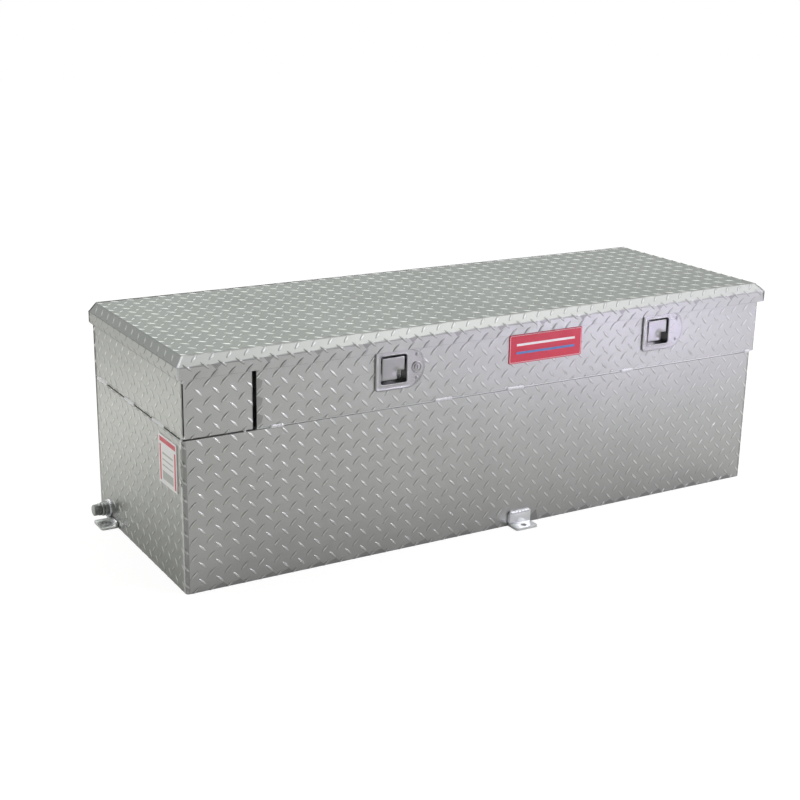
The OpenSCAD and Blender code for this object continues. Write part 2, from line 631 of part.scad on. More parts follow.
// --- key lock in the left latch ------------------------------------------------------------------
plug_r = 6.5;
barrel_r = 10;
bezel_r = 13;
barrel_in = 22;               // barrel's length behind the wall's face
module key_barrel() color(steel) translate([latch_x[0] + key_x, 0, latch_z - 1]) difference() {
    union() {
        ycyl(barrel_r, face_y, y_f + barrel_in, 0, 0);
        ycyl(bezel_r, face_y - 1.2, face_y, 0, 0);
        translate([0, y_f + plate_t, 0]) rotate([-90, 0, 0]) cylinder(r = 14, h = 4, $fn = 6);
    }
    ycyl(plug_r + run_gap, face_y - 3, y_f + barrel_in + 1, 0, 0);
}
module key_plug() color(steel) translate([latch_x[0] + key_x, 0, latch_z - 1]) {
    difference() {
        ycyl(plug_r, face_y - 1.6, y_f + barrel_in + 2, 0, 0);
        slab([-0.8, face_y - 3, -4], [0.8, face_y + 8, 4]);
    }
    slab([-5, y_f + barrel_in + 1, -26], [5, y_f + barrel_in + 3.5, 5]);
}

// --- plates without words --------------------------------------------------------------------------
badge_x = [21, 220];
badge_z = [386, 452];
decal_t = 0.8;
module badge() color("crimson") slab([badge_x[0], y_f - decal_t, badge_z[0]], [badge_x[1], y_f, badge_z[1]]);
label_y = [-227, -131];
label_z = [207, 311];
module label() color("whitesmoke")
    slab([x_l - decal_t, label_y[0], label_z[0]], [x_l, label_y[1], label_z[1]]);

tank_front();
tank_rear();
tank_left_end();
tank_right_end();
tank_floor();
tank_top();
baffle_left();
baffle_right();
corner_welds();
filler_neck();
filler_cap();
filler_cap_gasket();
vent_valve();
outlet_boss();
outlet_nipple();
outlet_cap();
tab_front();
tab_left();
tab_right();
bay_front_panel();
bay_left_panel();
box_rear_wall();
tub_front_wall();
tub_left_wall();
tub_right_wall();
tub_floor();
seam_welds();
tub_seal();
lid_shell();
lid_stiffeners();
hinge_body_leaf();
hinge_lid_leaf();
hinge_pin();
strut_left_tube();
strut_left_rod();
strut_right_tube();
strut_right_rod();
strut_body_studs();
strut_lid_studs();
latch_left_pan();
latch_left_paddle();
latch_left_housing();
latch_left_hook();
latch_left_trip();
latch_right_pan();
latch_right_paddle();
latch_right_housing();
latch_right_hook();
latch_right_trip();
paddle_pins();
paddle_springs();
latch_gaskets();
latch_rivets();
lid_strikers();
key_barrel();
key_plug();
badge();
label();
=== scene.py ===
import json
import math
from collections import Counter

import bmesh
import bpy
import numpy as np
from bpy.props import FloatProperty, FloatVectorProperty, PointerProperty
from mathutils import Matrix, Vector, geometry


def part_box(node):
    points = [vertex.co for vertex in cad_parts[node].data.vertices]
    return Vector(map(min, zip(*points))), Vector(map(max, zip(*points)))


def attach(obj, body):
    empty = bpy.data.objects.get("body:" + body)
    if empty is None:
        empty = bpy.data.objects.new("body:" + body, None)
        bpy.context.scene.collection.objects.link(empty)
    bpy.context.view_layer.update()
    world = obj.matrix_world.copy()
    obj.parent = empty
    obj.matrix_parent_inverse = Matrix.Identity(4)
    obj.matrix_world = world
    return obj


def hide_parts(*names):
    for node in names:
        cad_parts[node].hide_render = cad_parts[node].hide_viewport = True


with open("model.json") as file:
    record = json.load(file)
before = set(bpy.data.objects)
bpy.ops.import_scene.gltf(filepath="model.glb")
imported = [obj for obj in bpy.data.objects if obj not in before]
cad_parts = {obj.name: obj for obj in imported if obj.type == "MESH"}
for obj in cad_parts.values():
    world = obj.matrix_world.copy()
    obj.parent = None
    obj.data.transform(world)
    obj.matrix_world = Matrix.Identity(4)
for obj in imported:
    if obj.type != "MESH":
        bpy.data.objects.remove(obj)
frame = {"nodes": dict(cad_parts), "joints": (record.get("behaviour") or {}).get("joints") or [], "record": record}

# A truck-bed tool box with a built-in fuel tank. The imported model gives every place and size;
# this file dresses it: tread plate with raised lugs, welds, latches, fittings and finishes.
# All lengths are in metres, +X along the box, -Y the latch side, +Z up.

bl_info = {
    "name": "Truck tool box with fuel tank",
    "version": (1, 0, 0),
    "blender": (4, 5, 0),
    "location": "3D View > Sidebar > Tool box",
    "description": "Builds the visible pieces and finishes of a tread-plate truck tool box",
    "category": "Add Mesh",
}

MM = 0.001
SAME = 0.002 * MM                # points closer than this are one point on a cut
MEET = 0.02 * MM                 # rim points closer than this meet where a sheet is folded
STRIP = 3                        # lug columns of one kind in each strip that is triangulated at once
JOINTS = {joint["name"]: joint for joint in frame["joints"]}
FIXED = "box"                    # the body that everything else moves on
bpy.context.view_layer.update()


# --- settings -------------------------------------------------------------------------------------
def length(name, default, description):
    return FloatProperty(name=name, default=default, description=description, unit="LENGTH", precision=5)


def colour(name, default, description):
    return FloatVectorProperty(name=name, default=default, description=description,
                               subtype="COLOR", size=3, min=0.0, max=1.0)


def place(name, default, description):
    return FloatVectorProperty(name=name, default=default, description=description,
                               subtype="TRANSLATION", size=3, unit="LENGTH")


class TreadSettings(bpy.types.PropertyGroup):
    """Sizes of the tread plate and its raised lugs"""
    pitch: length("Lug pitch", 37.2 * MM, "Distance between lugs that point the same way")
    lug_l: length("Lug length", 25.5 * MM, "Length of one lug")
    lug_w: length("Lug width", 6.2 * MM, "Width of one lug at its middle")
    lug_h: length("Lug height", 1.2 * MM, "Height of a lug above the sheet")
    plate_t: length("Plate thickness", 3.0 * MM, "Thickness of the plate over its lugs")
    edge_r: length("Cut edge", 0.5 * MM, "Rounding of a sheared edge")
    rolled_r: length("Rolled edge", 1.0 * MM, "Rounding of the tank's upper edge")
    wrap_r: length("Corner bend", 8.0 * MM, "Outside radius of the tank's bent corners")
    bend_r: length("Lid bend", 3.5 * MM, "Outside radius of the lid's bends")
    bevel_w: length("Lid slope width", 18.0 * MM, "Width of the lid's sloping edge from above")
    bevel_h: length("Lid slope height", 19.0 * MM, "Height of the lid's sloping edge")


class LatchSettings(bpy.types.PropertyGroup):
    """Sizes of the two recessed paddle latches"""
    lobe_r: length("Lobe radius", 45.0 * MM, "Radius of the face plate's round end")
    lobe_x: length("Lobe place", 33.0 * MM, "Centre of the round end, from the latch's centre")
    left: length("Square end", 44.0 * MM, "Face plate's square end, from the latch's centre")
    corner_r: length("Corner radius", 7.0 * MM, "Corners of the square end")
    recess_w: length("Recess width", 63.0 * MM, "Width of the recess")
    recess_h: length("Recess height", 61.0 * MM, "Height of the recess")
    recess_d: length("Recess depth", 24.0 * MM, "Depth of the recess behind the face")
    face_t: length("Face thickness", 2.5 * MM, "Thickness of the face plate")
    paddle_t: length("Paddle thickness", 2.5 * MM, "Thickness of the paddle")
    cut_w: length("Finger cut width", 18.0 * MM, "Width of the cut in the paddle's corner")
    cut_h: length("Finger cut height", 19.0 * MM, "Height of the cut in the paddle's corner")
    scoop_d: length("Scoop depth", 1.7 * MM, "Depth of the finger scoop pressed into the paddle")
    key_x: length("Key place", 56.0 * MM, "Key lock, from the latch's centre")


class FinishSettings(bpy.types.PropertyGroup):
    """Colours of the finishes"""
    alloy: colour("Tread plate", (0.405, 0.41, 0.40), "Mill-finish tread plate")
    alloy_plain: colour("Plain sheet", (0.50, 0.505, 0.50), "Mill-finish plain sheet")
    weld: colour("Weld", (0.60, 0.60, 0.62), "Weld metal")
    stainless: colour("Stainless", (0.37, 0.367, 0.374), "Brushed stainless steel")
    paddle: colour("Paddle", (0.31, 0.308, 0.312), "Brushed stainless steel of the paddles")
    zinc: colour("Zinc", (0.42, 0.43, 0.42), "Dull zinc plate")
    chrome: colour("Chrome", (0.60, 0.60, 0.62), "Polished rod")
    brass: colour("Brass", (0.60, 0.42, 0.16), "Machined brass")
    paint: colour("Strut paint", (0.012, 0.012, 0.013), "Satin black paint")
    rubber: colour("Rubber", (0.014, 0.014, 0.014), "Matt black rubber")
    plastic: colour("Cap plastic", (0.018, 0.018, 0.020), "Moulded black plastic")
    red: colour("Plate red", (0.58, 0.015, 0.045), "Red vinyl")
    # a darker copy of the plate's red for its sides: painted shade
    red_dark: colour("Shaded side red", (0.30, 0.010, 0.025), "Red vinyl darkened as painted shade on the plate's sides")
    pale: colour("Plate pale", (0.78, 0.76, 0.77), "Pale printed vinyl")
    blue: colour("Plate blue", (0.06, 0.19, 0.45), "Blue printed vinyl")


class StageSettings(bpy.types.PropertyGroup):
    """Camera, lamps and floor"""
    eye: place("Camera place", (-1.7200, -2.7215, 1.2277), "Where the camera stands")
    aim: place("Camera aim", (-0.2561, -0.2575, 0.3439), "What the camera looks at")
    roll: FloatProperty(name="Camera roll", default=math.radians(1.02), subtype="ANGLE",
                        description="How far the camera leans")
    lens: FloatProperty(name="Lens", default=63.63, description="Focal length on a 36 mm wide frame, in mm")
    key_watts: FloatProperty(name="Key lamp", default=74.0, unit="POWER", description="Strength of the key lamp")
    top_watts: FloatProperty(name="Top lamp", default=14.0, unit="POWER", description="Strength of the top lamp")
    fill_watts: FloatProperty(name="Fill lamp", default=2.6, unit="POWER",
                              description="Strength of the rear fill lamp")
    flash_watts: FloatProperty(name="Flash", default=13.0, unit="POWER",
                               description="Strength of the lamp beside the camera")
    pool_watts: FloatProperty(name="Pool lamp", default=30.0, unit="POWER",
                              description="Strength of the lamp over the floor at the front right")
    floor_tone: colour("Floor", (0.80, 0.79, 0.765), "Colour of the floor")
    floor_glow: FloatProperty(name="Floor glow", default=1.12, min=0.0, subtype="FACTOR",
                              description="Brightness of the white that is seen with the floor")
    floor_white: FloatProperty(name="Floor white", default=0.80, min=0.0, max=1.0, subtype="FACTOR",
                               description="Share of that white in what the camera sees of the floor")


# --- mesh tools -----------------------------------------------------------------------------------
class Maker:
    """Collects points and faces in metres, welds them and makes one piece of them."""

    def __init__(self):
        self.points, self.faces, self.tints, self.masks = [], [], [], []

    def add(self, points, faces, tint=0, mask=None):
        first = len(self.points)
        self.points.extend(tuple(p) for p in points)
        self.masks.extend([0.0] * len(points) if mask is None else mask)
        for face in faces:
            self.faces.append([first + i for i in face])
            self.tints.append(tint)

    def loft(self, rings, tint=0, start=False, end=False):
        """Joins closed rings of as many points each, and closes the first and the last where asked."""
        count = len(rings[0])
        faces = [[k * count + i, k * count + (i + 1) % count, (k + 1) * count + (i + 1) % count, (k + 1) * count + i]
                 for k in range(len(rings) - 1) for i in range(count)]
        if start:
            faces.append(list(range(count))[::-1])
        if end:
            faces.append([(len(rings) - 1) * count + i for i in range(count)])
        self.add([p for ring in rings for p in ring], faces, tint)

    def block(self, low, high, round_r=0.0):
        """A box with slightly rounded edges."""
        bm = bmesh.new()
        size = Vector(high) - Vector(low)
        middle = (Vector(high) + Vector(low)) / 2
        bmesh.ops.create_cube(bm, size=1, matrix=Matrix.Translation(middle) @ Matrix.Diagonal((*size, 1)))
        if round_r:
            bmesh.ops.bevel(bm, geom=bm.edges[:], offset=round_r, segments=2, affect="EDGES", profile=0.5)
        bm.verts.index_update()
        self.add([v.co for v in bm.verts], [[v.index for v in f.verts] for f in bm.faces])
        bm.free()

    def piece(self, name, body, slot, finishes, crease):
        """Welds the points and makes the piece, riding on its body. Crease is in degrees."""
        mesh = bpy.data.meshes.new(name)
        mesh.from_pydata(self.points, [], self.faces)
        mesh.polygons.foreach_set("material_index", self.tints)
        lug = mesh.attributes.new("lug", "FLOAT", "POINT")
        lug.data.foreach_set("value", np.array(self.masks, np.float32))
        bm = bmesh.new()
        bm.from_mesh(mesh)
        bmesh.ops.remove_doubles(bm, verts=bm.verts, dist=0.001 * MM)
        bmesh.ops.dissolve_degenerate(bm, dist=0.0005 * MM, edges=bm.edges)
        bmesh.ops.recalc_face_normals(bm, faces=bm.faces)
        mark_creases(bm, math.radians(crease))
        bm.to_mesh(mesh)
        bm.free()
        piece = bpy.data.objects.new(name, mesh)
        bpy.context.scene.collection.objects.link(piece)
        for finish in finishes:
            mesh.materials.append(finish_named(finish))
        even = piece.modifiers.new("even flats", "WEIGHTED_NORMAL")
        even.keep_sharp = True
        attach(piece, body)
        return piece


def mark_creases(bm, angle):
    """Smooth faces with sharp edges at real creases, and wherever a lug or a rounded edge meets a flat."""
    mask = bm.verts.layers.float.get("lug")

    def kind(face):
        values = [v[mask] for v in face.verts]
        return 2 if max(values) > 0 else 1 if min(values) < 0 else 0

    bm.faces.index_update()
    kinds = [kind(face) for face in bm.faces]
    for face in bm.faces:
        face.smooth = True
    for edge in bm.edges:
        pair = [kinds[face.index] for face in edge.link_faces]
        meets_flat = len(set(pair)) == 2 and 0 in pair
        edge.smooth = len(pair) == 2 and not meets_flat and edge.calc_face_angle(0) < angle


def triangulate(outline, holes=(), lines=(), shapes=(), points=(), part=None):
    """Triangles inside an outline and outside its holes. Lines are edges to keep, shapes are closed rings with
    chains of edges inside them, and part is a second outline that cuts the result."""
    spots, edges, faces = [], [], []

    def take(ring):
        first = len(spots)
        spots.extend(ring)
        return list(range(first, first + len(ring)))

    for ring in [outline, *([] if part is None else [part]), *holes, *(shape[0] for shape in shapes)]:
        faces.append(take(ring))
    for chain in [*lines, *(chain for shape in shapes for chain in shape[1])]:
        picked = take(chain)
        edges.extend(zip(picked, picked[1:]))
    take(points)
    found = geometry.delaunay_2d_cdt([Vector(p) / MM for p in spots], edges, faces, 1, 1e-4)
    must = {0} if part is None else {0, 1}
    cut = set(range(len(must), len(must) + len(holes)))
    triangles = [t for t, owners in zip(found[2], found[5]) if must <= set(owners) and not cut & set(owners)]
    used = sorted({i for triangle in triangles for i in triangle})
    order = {old: new for new, old in enumerate(used)}
    return np.array([found[0][i][:] for i in used]) * MM, [[order[i] for i in triangle] for triangle in triangles]


def tiled(outline, holes, lines, pattern):
    """Triangulates a wide sheet strip by strip. The cuts run between columns of lugs, so none is crossed."""
    spots = np.array(outline)
    low, high = spots.min(0) - MM, spots.max(0) + MM
    step = pattern.tread.pitch
    first = pattern.phase[0] + step / 4
    strip = step * STRIP
    cuts = first + strip * np.arange(math.ceil((low[0] - first) / strip), (high[0] - first) / strip)
    sides = [low[0], *cuts, high[0]]
    shapes = pattern.shapes()
    points, triangles, seams = [], [], {}
    for left, right in zip(sides, sides[1:]):
        inside = [shape for shape in shapes if left < np.mean([p[0] for p in shape[0]]) < right]
        found, made = triangulate(outline, holes, lines, inside, (), box_outline((left, low[1]), (right, high[1])))
        order = []
        for spot in found:
            on_cut = int(np.argmin(np.abs(cuts - spot[0]))) if len(cuts) else 0
            if not len(cuts) or abs(cuts[on_cut] - spot[0]) > SAME:
                order.append(len(points))
                points.append(spot)
                continue
            level = round(spot[1] / SAME)
            known = next((seams[on_cut, level + k] for k in (0, 1, -1) if (on_cut, level + k) in seams), None)
            if known is None:
                known = seams[on_cut, level] = len(points)
                points.append(spot)
            order.append(known)
        triangles.extend([order[i] for i in t] for t in made)
    return np.array(points), triangles


def rims_of(triangles):
    """The closed rims of a triangulated sheet, each a ring of point numbers."""
    edges = {(t[i], t[(i + 1) % 3]) for t in triangles for i in range(3)}
    after = {a: b for a, b in sorted(edges) if (b, a) not in edges}
    rims = []
    while after:
        at, onward = after.popitem()
        rim = [at]
        while onward != rim[0]:
            rim.append(onward)
            onward = after.pop(onward)
        rims.append(rim)
    return rims


def ring_area(ring):
    u, v = np.array(ring).T
    return float(u @ np.roll(v, -1) - v @ np.roll(u, -1)) / 2


def sheet(maker, outline, to_space, lift, thick, holes=(), bends=(), rounding=(), pattern=None, points=()):
    """A closed sheet: its face follows lift(u, v), its back is plain, and to_space bends both."""
    lines = [*bends, *rounding]
    if pattern is None:
        spots, triangles = triangulate(outline, holes, lines, (), points)
    else:
        spots, triangles = tiled(outline, holes, lines, pattern)
    height, mask = lift(spots)
    rims = sorted(rims_of(triangles), key=lambda rim: -abs(ring_area([spots[i] for i in rim])))
    rings = [[tuple(spots[i]) for i in rim] for rim in rims]
    back, back_triangles = triangulate(rings[0], [ring[::-1] for ring in rings[1:]], bends)
    front_xyz = to_space(spots[:, 0], spots[:, 1], height)
    back_xyz = to_space(back[:, 0], back[:, 1], np.full(len(back), -thick))
    places = np.vstack([front_xyz, back_xyz])
    count = len(spots)
    faces = [list(t) for t in triangles] + [[count + i for i in reversed(t)] for t in back_triangles]
    walls = []
    for rim in rims:
        behind = [count + int(np.argmin(((back - spots[i]) ** 2).sum(1))) for i in rim]
        for k, (at, below) in enumerate(zip(rim, behind)):
            onward, below_onward = rim[(k + 1) % len(rim)], behind[(k + 1) % len(rim)]
            walls.append([onward, at, below] + ([below_onward] if below_onward != below else []))
    rim_ids = sorted({i for wall in walls for i in wall})
    apart = np.abs(places[rim_ids][:, None] - places[rim_ids][None]).max(axis=2)
    same = {i: rim_ids[k] for i, k in zip(rim_ids, np.argmax(apart < MEET, axis=1))}
    places[rim_ids] = places[[same[i] for i in rim_ids]]
    where = [frozenset(same[i] for i in wall) for wall in walls]
    met = Counter(where)                         # two walls that meet at a folded corner are inside the sheet
    faces += [wall for wall, spot in zip(walls, where) if met[spot] == 1]
    maker.add(places, faces, mask=[*mask, *[0.0] * len(back)])


def bent_path(corners, radius, steps=5):
    """A path with round corners: its length at each point, the points and the outward normals.
    Outward is to the right of the path."""
    places, normals = [], []

    def right(d):
        return np.array([d[1], -d[0]])

    corners = [np.array(c, float) for c in corners]
    for i, corner in enumerate(corners):
        ahead = corners[min(i + 1, len(corners) - 1)] - corner
        behind = corner - corners[max(i - 1, 0)]
        if i in (0, len(corners) - 1):
            d = ahead if i == 0 else behind
            places.append(corner)
            normals.append(right(d / np.linalg.norm(d)))
            continue
        d0, d1 = behind / np.linalg.norm(behind), ahead / np.linalg.norm(ahead)
        turn = math.atan2(d0[0] * d1[1] - d0[1] * d1[0], d0 @ d1)
        cut = radius * math.tan(abs(turn) / 2)
        centre = corner - d0 * cut - right(d0) * radius * (1 if turn > 0 else -1)
        for k in range(steps + 1):
            a = turn * k / steps
            n0 = right(d0)
            n = np.array([n0[0] * math.cos(a) - n0[1] * math.sin(a), n0[0] * math.sin(a) + n0[1] * math.cos(a)])
            places.append(centre + n * radius * (1 if turn > 0 else -1))
            normals.append(n)
    places, normals = np.array(places), np.array(normals)
    along = np.concatenate([[0], np.cumsum(np.linalg.norm(np.diff(places, axis=0), axis=1))])
    return along, places, normals


def on_path(path, s, h):
    """Where a point lies that is s along the path and h outside it."""
    along, places, normals = path
    return [np.interp(s, along, places[:, k]) + h * np.interp(s, along, normals[:, k]) for k in (0, 1)]


def arc(centre, radius, start, stop, steps):
    """Points on an arc, angles in degrees, both ends included."""
    turns = [math.radians(start + (stop - start) * k / steps) for k in range(steps + 1)]
    return [(centre[0] + radius * math.cos(t), centre[1] + radius * math.sin(t)) for t in turns]


def round_box(low, high, radius, steps=6):
    """A rectangle with round corners, counter-clockwise."""
    corners = [((high[0] - radius, low[1] + radius), -90), ((high[0] - radius, high[1] - radius), 0),
               ((low[0] + radius, high[1] - radius), 90), ((low[0] + radius, low[1] + radius), 180)]
    return [p for centre, start in corners for p in arc(centre, radius, start, start + 90, steps)]


def box_outline(low, high):
    return [(low[0], low[1]), (high[0], low[1]), (high[0], high[1]), (low[0], high[1])]


def flat_plane(axis, at, outward):
    """A mapping of (u, v, h) onto the plane where X or Y is constant, seen from outside with u to the right."""
    def to_space(u, v, h):
        if axis == "y":
            return np.stack([-outward * u, at + outward * h, v], axis=1)
        return np.stack([at + outward * h, outward * u, v], axis=1)
    return to_space


def spun(centre, axis, along, radius, turn):
    """A point at a distance along an axis through centre, and at a radius and an angle about it."""
    main = "xyz".index(axis)
    point = list(centre)
    point[main] += along
    point[(main + 1) % 3] += radius * math.cos(turn)
    point[(main + 2) % 3] += radius * math.sin(turn)
    return point


def full_turn(steps):
    return [2 * math.pi * k / steps for k in range(steps)]


def turned(profile, centre, axis, steps, shape=None):
    """Rings about an axis through centre, from pairs of (distance along it, radius). Shape, if given, is called
    with a radius and an angle, and returns the radius there."""
    least = 0.02 * MM
    return [[spun(centre, axis, along, max(shape(radius, turn) if shape else radius, least), turn)
             for turn in full_turn(steps)] for along, radius in profile]


def in_mm(*pairs):
    """Pairs of numbers in millimetres, as metres."""
    return [(a * MM, b * MM) for a, b in pairs]


# --- tread plate ----------------------------------------------------------------------------------
def lug_chains(tread):
    """One lug along +U about the origin: its foot, a ring half-way up and its ridge."""
    half_l, half_w = tread.lug_l / 2, tread.lug_w / 2

    def side(spread, tip, marks):
        return [(half_l * t, half_w * (1 - t * t) * spread) for t in marks if abs(t) <= tip]

    def ring(spread, tip, marks):
        upper = side(spread, tip, marks)
        lower = [(u, -w) for u, w in reversed(upper)]
        return [(-half_l * tip, 0)] + upper + [(half_l * tip, 0)] + lower

    foot = ring(1.0, 1.0, [-0.75, -0.4, 0, 0.4, 0.75])
    middle = ring(0.6, 0.86, [-0.6, -0.2, 0.2, 0.6])
    ridge = [(half_l * t, 0) for t in (-0.5, 0, 0.5)]
    return foot, [middle + middle[:1], ridge]


def lug_height(tread, along, across):
    """Height of a lug at a point in its own axes, 0 outside it."""
    t = np.clip(np.abs(along) / (tread.lug_l / 2), 0, 1)
    half_w = np.maximum(tread.lug_w / 2 * (1 - t * t), 1e-9)
    q = np.clip(np.abs(across) / half_w, 0, 1)
    return tread.lug_h * (1 - q ** 2) * (1 - t ** 4)


class Pattern:
    """The lugs on one sheet: a square lattice that points one way and one between it that points the other."""

    def __init__(self, tread, phase, outline, clear=()):
        self.tread, self.phase = tread, phase
        spots = np.array(outline)
        reach = tread.lug_l / 2
        low = np.floor((spots.min(0) - reach - phase) / tread.pitch).astype(int) - 1
        high = np.ceil((spots.max(0) + reach - phase) / tread.pitch).astype(int) + 1
        self.low = low
        self.kept = np.zeros((2, high[0] - low[0] + 1, high[1] - low[1] + 1), bool)
        for way in (0, 1):
            for i in range(low[0], high[0] + 1):
                for j in range(low[1], high[1] + 1):
                    centre = self.centre(way, i, j)
                    inside = all(spots.min(0) - reach < centre) and all(centre < spots.max(0) + reach)
                    if inside and not any(is_near(centre, a, b, gap) for a, b, gap in clear):
                        self.kept[way, i - low[0], j - low[1]] = True

    def centre(self, way, i, j):
        return np.array(self.phase) + self.tread.pitch * (np.array([i, j]) + way / 2)

    def axis(self, way):
        return np.array([1, -1 if way == 0 else 1]) / math.sqrt(2)

    def shapes(self):
        foot, chains = lug_chains(self.tread)
        made = []
        for way in (0, 1):
            along = self.axis(way)
            across = np.array([-along[1], along[0]])
            for i, j in zip(*np.nonzero(self.kept[way])):
                centre = self.centre(way, i + self.low[0], j + self.low[1])
                turned = [[tuple(centre + p[0] * along + p[1] * across) for p in chain] for chain in [foot] + chains]
                made.append((turned[0], turned[1:]))
        return made

    def height(self, spots):
        found = np.zeros(len(spots))
        for way in (0, 1):
            cell = np.rint((spots - self.phase) / self.tread.pitch - way / 2).astype(int)
            index = np.clip(cell - self.low, 0, np.array(self.kept.shape[1:]) - 1)
            kept = self.kept[way, index[:, 0], index[:, 1]]
            off = spots - (np.array(self.phase) + self.tread.pitch * (cell + way / 2))
            along = self.axis(way)
            lug = lug_height(self.tread, off @ along, off @ np.array([-along[1], along[0]]))
            found = np.maximum(found, np.where(kept, lug, 0))
        return found


def is_near(spot, a, b, gap):
    """Whether a spot lies within gap of the segment from a to b."""
    a, b = np.array(a, float), np.array(b, float)
    d = b - a
    t = min(1.0, max(0.0, float((spot - a) @ d) / max(float(d @ d), 1e-12)))
    return float(np.linalg.norm(spot - a - t * d)) < gap


def edge_drop(spots, rounds):
    """How far a rounded edge falls away: rounds are (a, b, radius) with the sheet on the left of a to b."""
    drop = np.zeros(len(spots))
    for a, b, radius in rounds:
        a, d = np.array(a), np.array(b) - np.array(a)
        size = np.linalg.norm(d)
        d = d / size
        off = spots - a
        run, depth = off @ d, off @ np.array([-d[1], d[0]])
        near = (run > -radius) & (run < size + radius) & (depth < radius)
        inner = np.clip(radius - depth, 0, radius)
        drop = np.maximum(drop, np.where(near, radius - np.sqrt(np.maximum(radius ** 2 - inner ** 2, 0)), 0))
    return drop


def round_lines(rounds, steps=3):
    """Lines in the sheet that carry its rounded edges."""
    lines = []
    for a, b, radius in rounds:
        d = np.array(b) - np.array(a)
        n = np.array([-d[1], d[0]]) / np.linalg.norm(d)
        for k in range(1, steps + 1):
            inset = radius * (1 - math.cos(math.pi / 2 * k / steps))
            lines.append([tuple(np.array(a) + n * inset), tuple(np.array(b) + n * inset)])
    return lines


def everywhere(spots):
    return np.ones(len(spots))


def tread_sheet(name, nodes, body, outline, to_space, phase, finish, holes=(), lines=(), rounds=(), clear=(),
                wear_and_sheen_share=everywhere, seam_shade_from=math.inf):
    """One piece of tread plate that stands for CAD sheets of the same outline. The share function tells how strongly
    lug tops are lightened, partly as real rubbing and partly as painted highlight, with painted shade at their feet,
    and a rounded edge above the given seam height is painted dark as the shade in the seam. The mask is 0 on flats,
    above 0 on lugs, below 0 on edges."""
    tread = bpy.context.scene.tool_box_tread
    pattern = Pattern(tread, np.array(phase), outline, clear)

    def lift(spots):
        lug, drop = pattern.height(spots), edge_drop(spots, rounds)
        # rounded edges above the seam height get mask -1, which the material darkens: painted shade in the seam gap
        edge = np.where(spots[:, 1] > seam_shade_from, -1.0, -0.001)
        return lug - tread.lug_h - drop, np.where((drop > 0) & (lug <= 0), edge, lug / tread.lug_h * wear_and_sheen_share(spots))

    maker = Maker()
    sheet(maker, outline, to_space, lift, tread.plate_t, holes, lines, round_lines(rounds), pattern)
    piece = maker.piece(name, body, "tread_plate", [finish], crease=26)
    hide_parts(*nodes)
    return piece


def edges_of(outline, radius, skip=()):
    """A rounding for each edge of an outline."""
    return [(outline[i], outline[(i + 1) % len(outline)], radius) for i in range(len(outline)) if i not in skip]


def wall_sheet(name, node, side, phase, finish, **extra):
    """Tread plate over a flat rectangular CAD wall, on its side that faces -x, +x, -y or +y."""
    axis, outward = side[1], 1 if side[0] == "+" else -1
    low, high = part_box(node)
    if axis == "y":
        ends = sorted((-outward * low.x, -outward * high.x))
    else:
        ends = sorted((outward * low.y, outward * high.y))
    outline = box_outline((ends[0], low.z), (ends[1], high.z))
    at = getattr(high if outward > 0 else low, axis)
    rounds = edges_of(outline, bpy.context.scene.tool_box_tread.edge_r)
    return tread_sheet(name, [node], FIXED, outline, flat_plane(axis, at, outward), phase, finish,
                       rounds=rounds, **extra)


# phases of the lug pattern, as the place of one lug of the falling lattice
FRONT_PHASE = (-0.7127, 0.2436)
UPPER_PHASE = (-0.7127, 0.4228)
LEFT_PHASE = (0.020, 0.200)
TOP_PHASE = (-0.700, -0.200)


def latch_centres():
    """The middle of each latch's recess."""
    low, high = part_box("latch_left_pan")
    z = (low.z + high.z) / 2
    return [(JOINTS[f"paddle_{side}_pull"]["pos_m"][0], z) for side in ("left", "right")]


def build_tank(context):
    """Tank sheets: the latch side wraps both corners, the ends and the rear are flat."""
    tread = context.scene.tool_box_tread
    plain, ends = "tread_alloy", "tread_alloy_ends"
    low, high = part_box("tank_front")
    path = bent_path([(low.x, high.y), (low.x, low.y), (high.x, low.y), (high.x, high.y)], tread.wrap_r, 6)
    flat_from = next(s for s, p in zip(path[0], path[1]) if p[0] >= low.x + tread.wrap_r - 1e-6)
    shift = low.x + tread.wrap_r - flat_from     # path length to the sheet's own u, which is x on its flat

    def wrap(u, v, h):
        x, y = on_path(path, u - shift, h)
        return np.stack([x, y, v], axis=1)

    ends_u = (shift, path[0][-1] + shift)
    outline = box_outline((ends_u[0], low.z), (ends_u[1], high.z))
    bends = [[(s + shift, low.z), (s + shift, high.z)] for s in path[0][1:-1]]
    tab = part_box("tab_front")
    weld_z, inset = 22 * MM, 12 * MM             # no lugs where the front tab is welded on
    patch = [((tab[0].x + inset, weld_z), (tab[1].x - inset, weld_z), 27 * MM)]
    rounds = [(outline[2], outline[3], tread.rolled_r), (outline[0], outline[1], tread.edge_r)]
    # the rolled top edge is painted dark: painted shade in the seam below the upper panels
    tread_sheet("tank_front_sheet", ["tank_front"], FIXED, outline, wrap, FRONT_PHASE, plain,
                lines=bends, rounds=rounds, clear=patch, seam_shade_from=high.z - 2 * tread.rolled_r)

    boss_low, boss_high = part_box("outlet_boss")
    boss = (-(boss_low.y + boss_high.y) / 2, (boss_low.z + boss_high.z) / 2)
    hole = arc(boss, (boss_high.z - boss_low.z) / 2, 0, 352.5, 47)
    wall_sheet("tank_left_end_sheet", "tank_left_end", "-x", LEFT_PHASE, ends, holes=[hole],
               clear=[(boss, (boss[0] + 20 * MM, 0.0), 34 * MM)])
    tab_y = sum(corner.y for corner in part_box("tab_right")) / 2
    wall_sheet("tank_right_end_sheet", "tank_right_end", "+x", LEFT_PHASE, ends,
               clear=[((tab_y, 0), (tab_y, 10 * MM), 30 * MM)])
    wall_sheet("tank_rear_sheet", "tank_rear", "+y", FRONT_PHASE, plain)


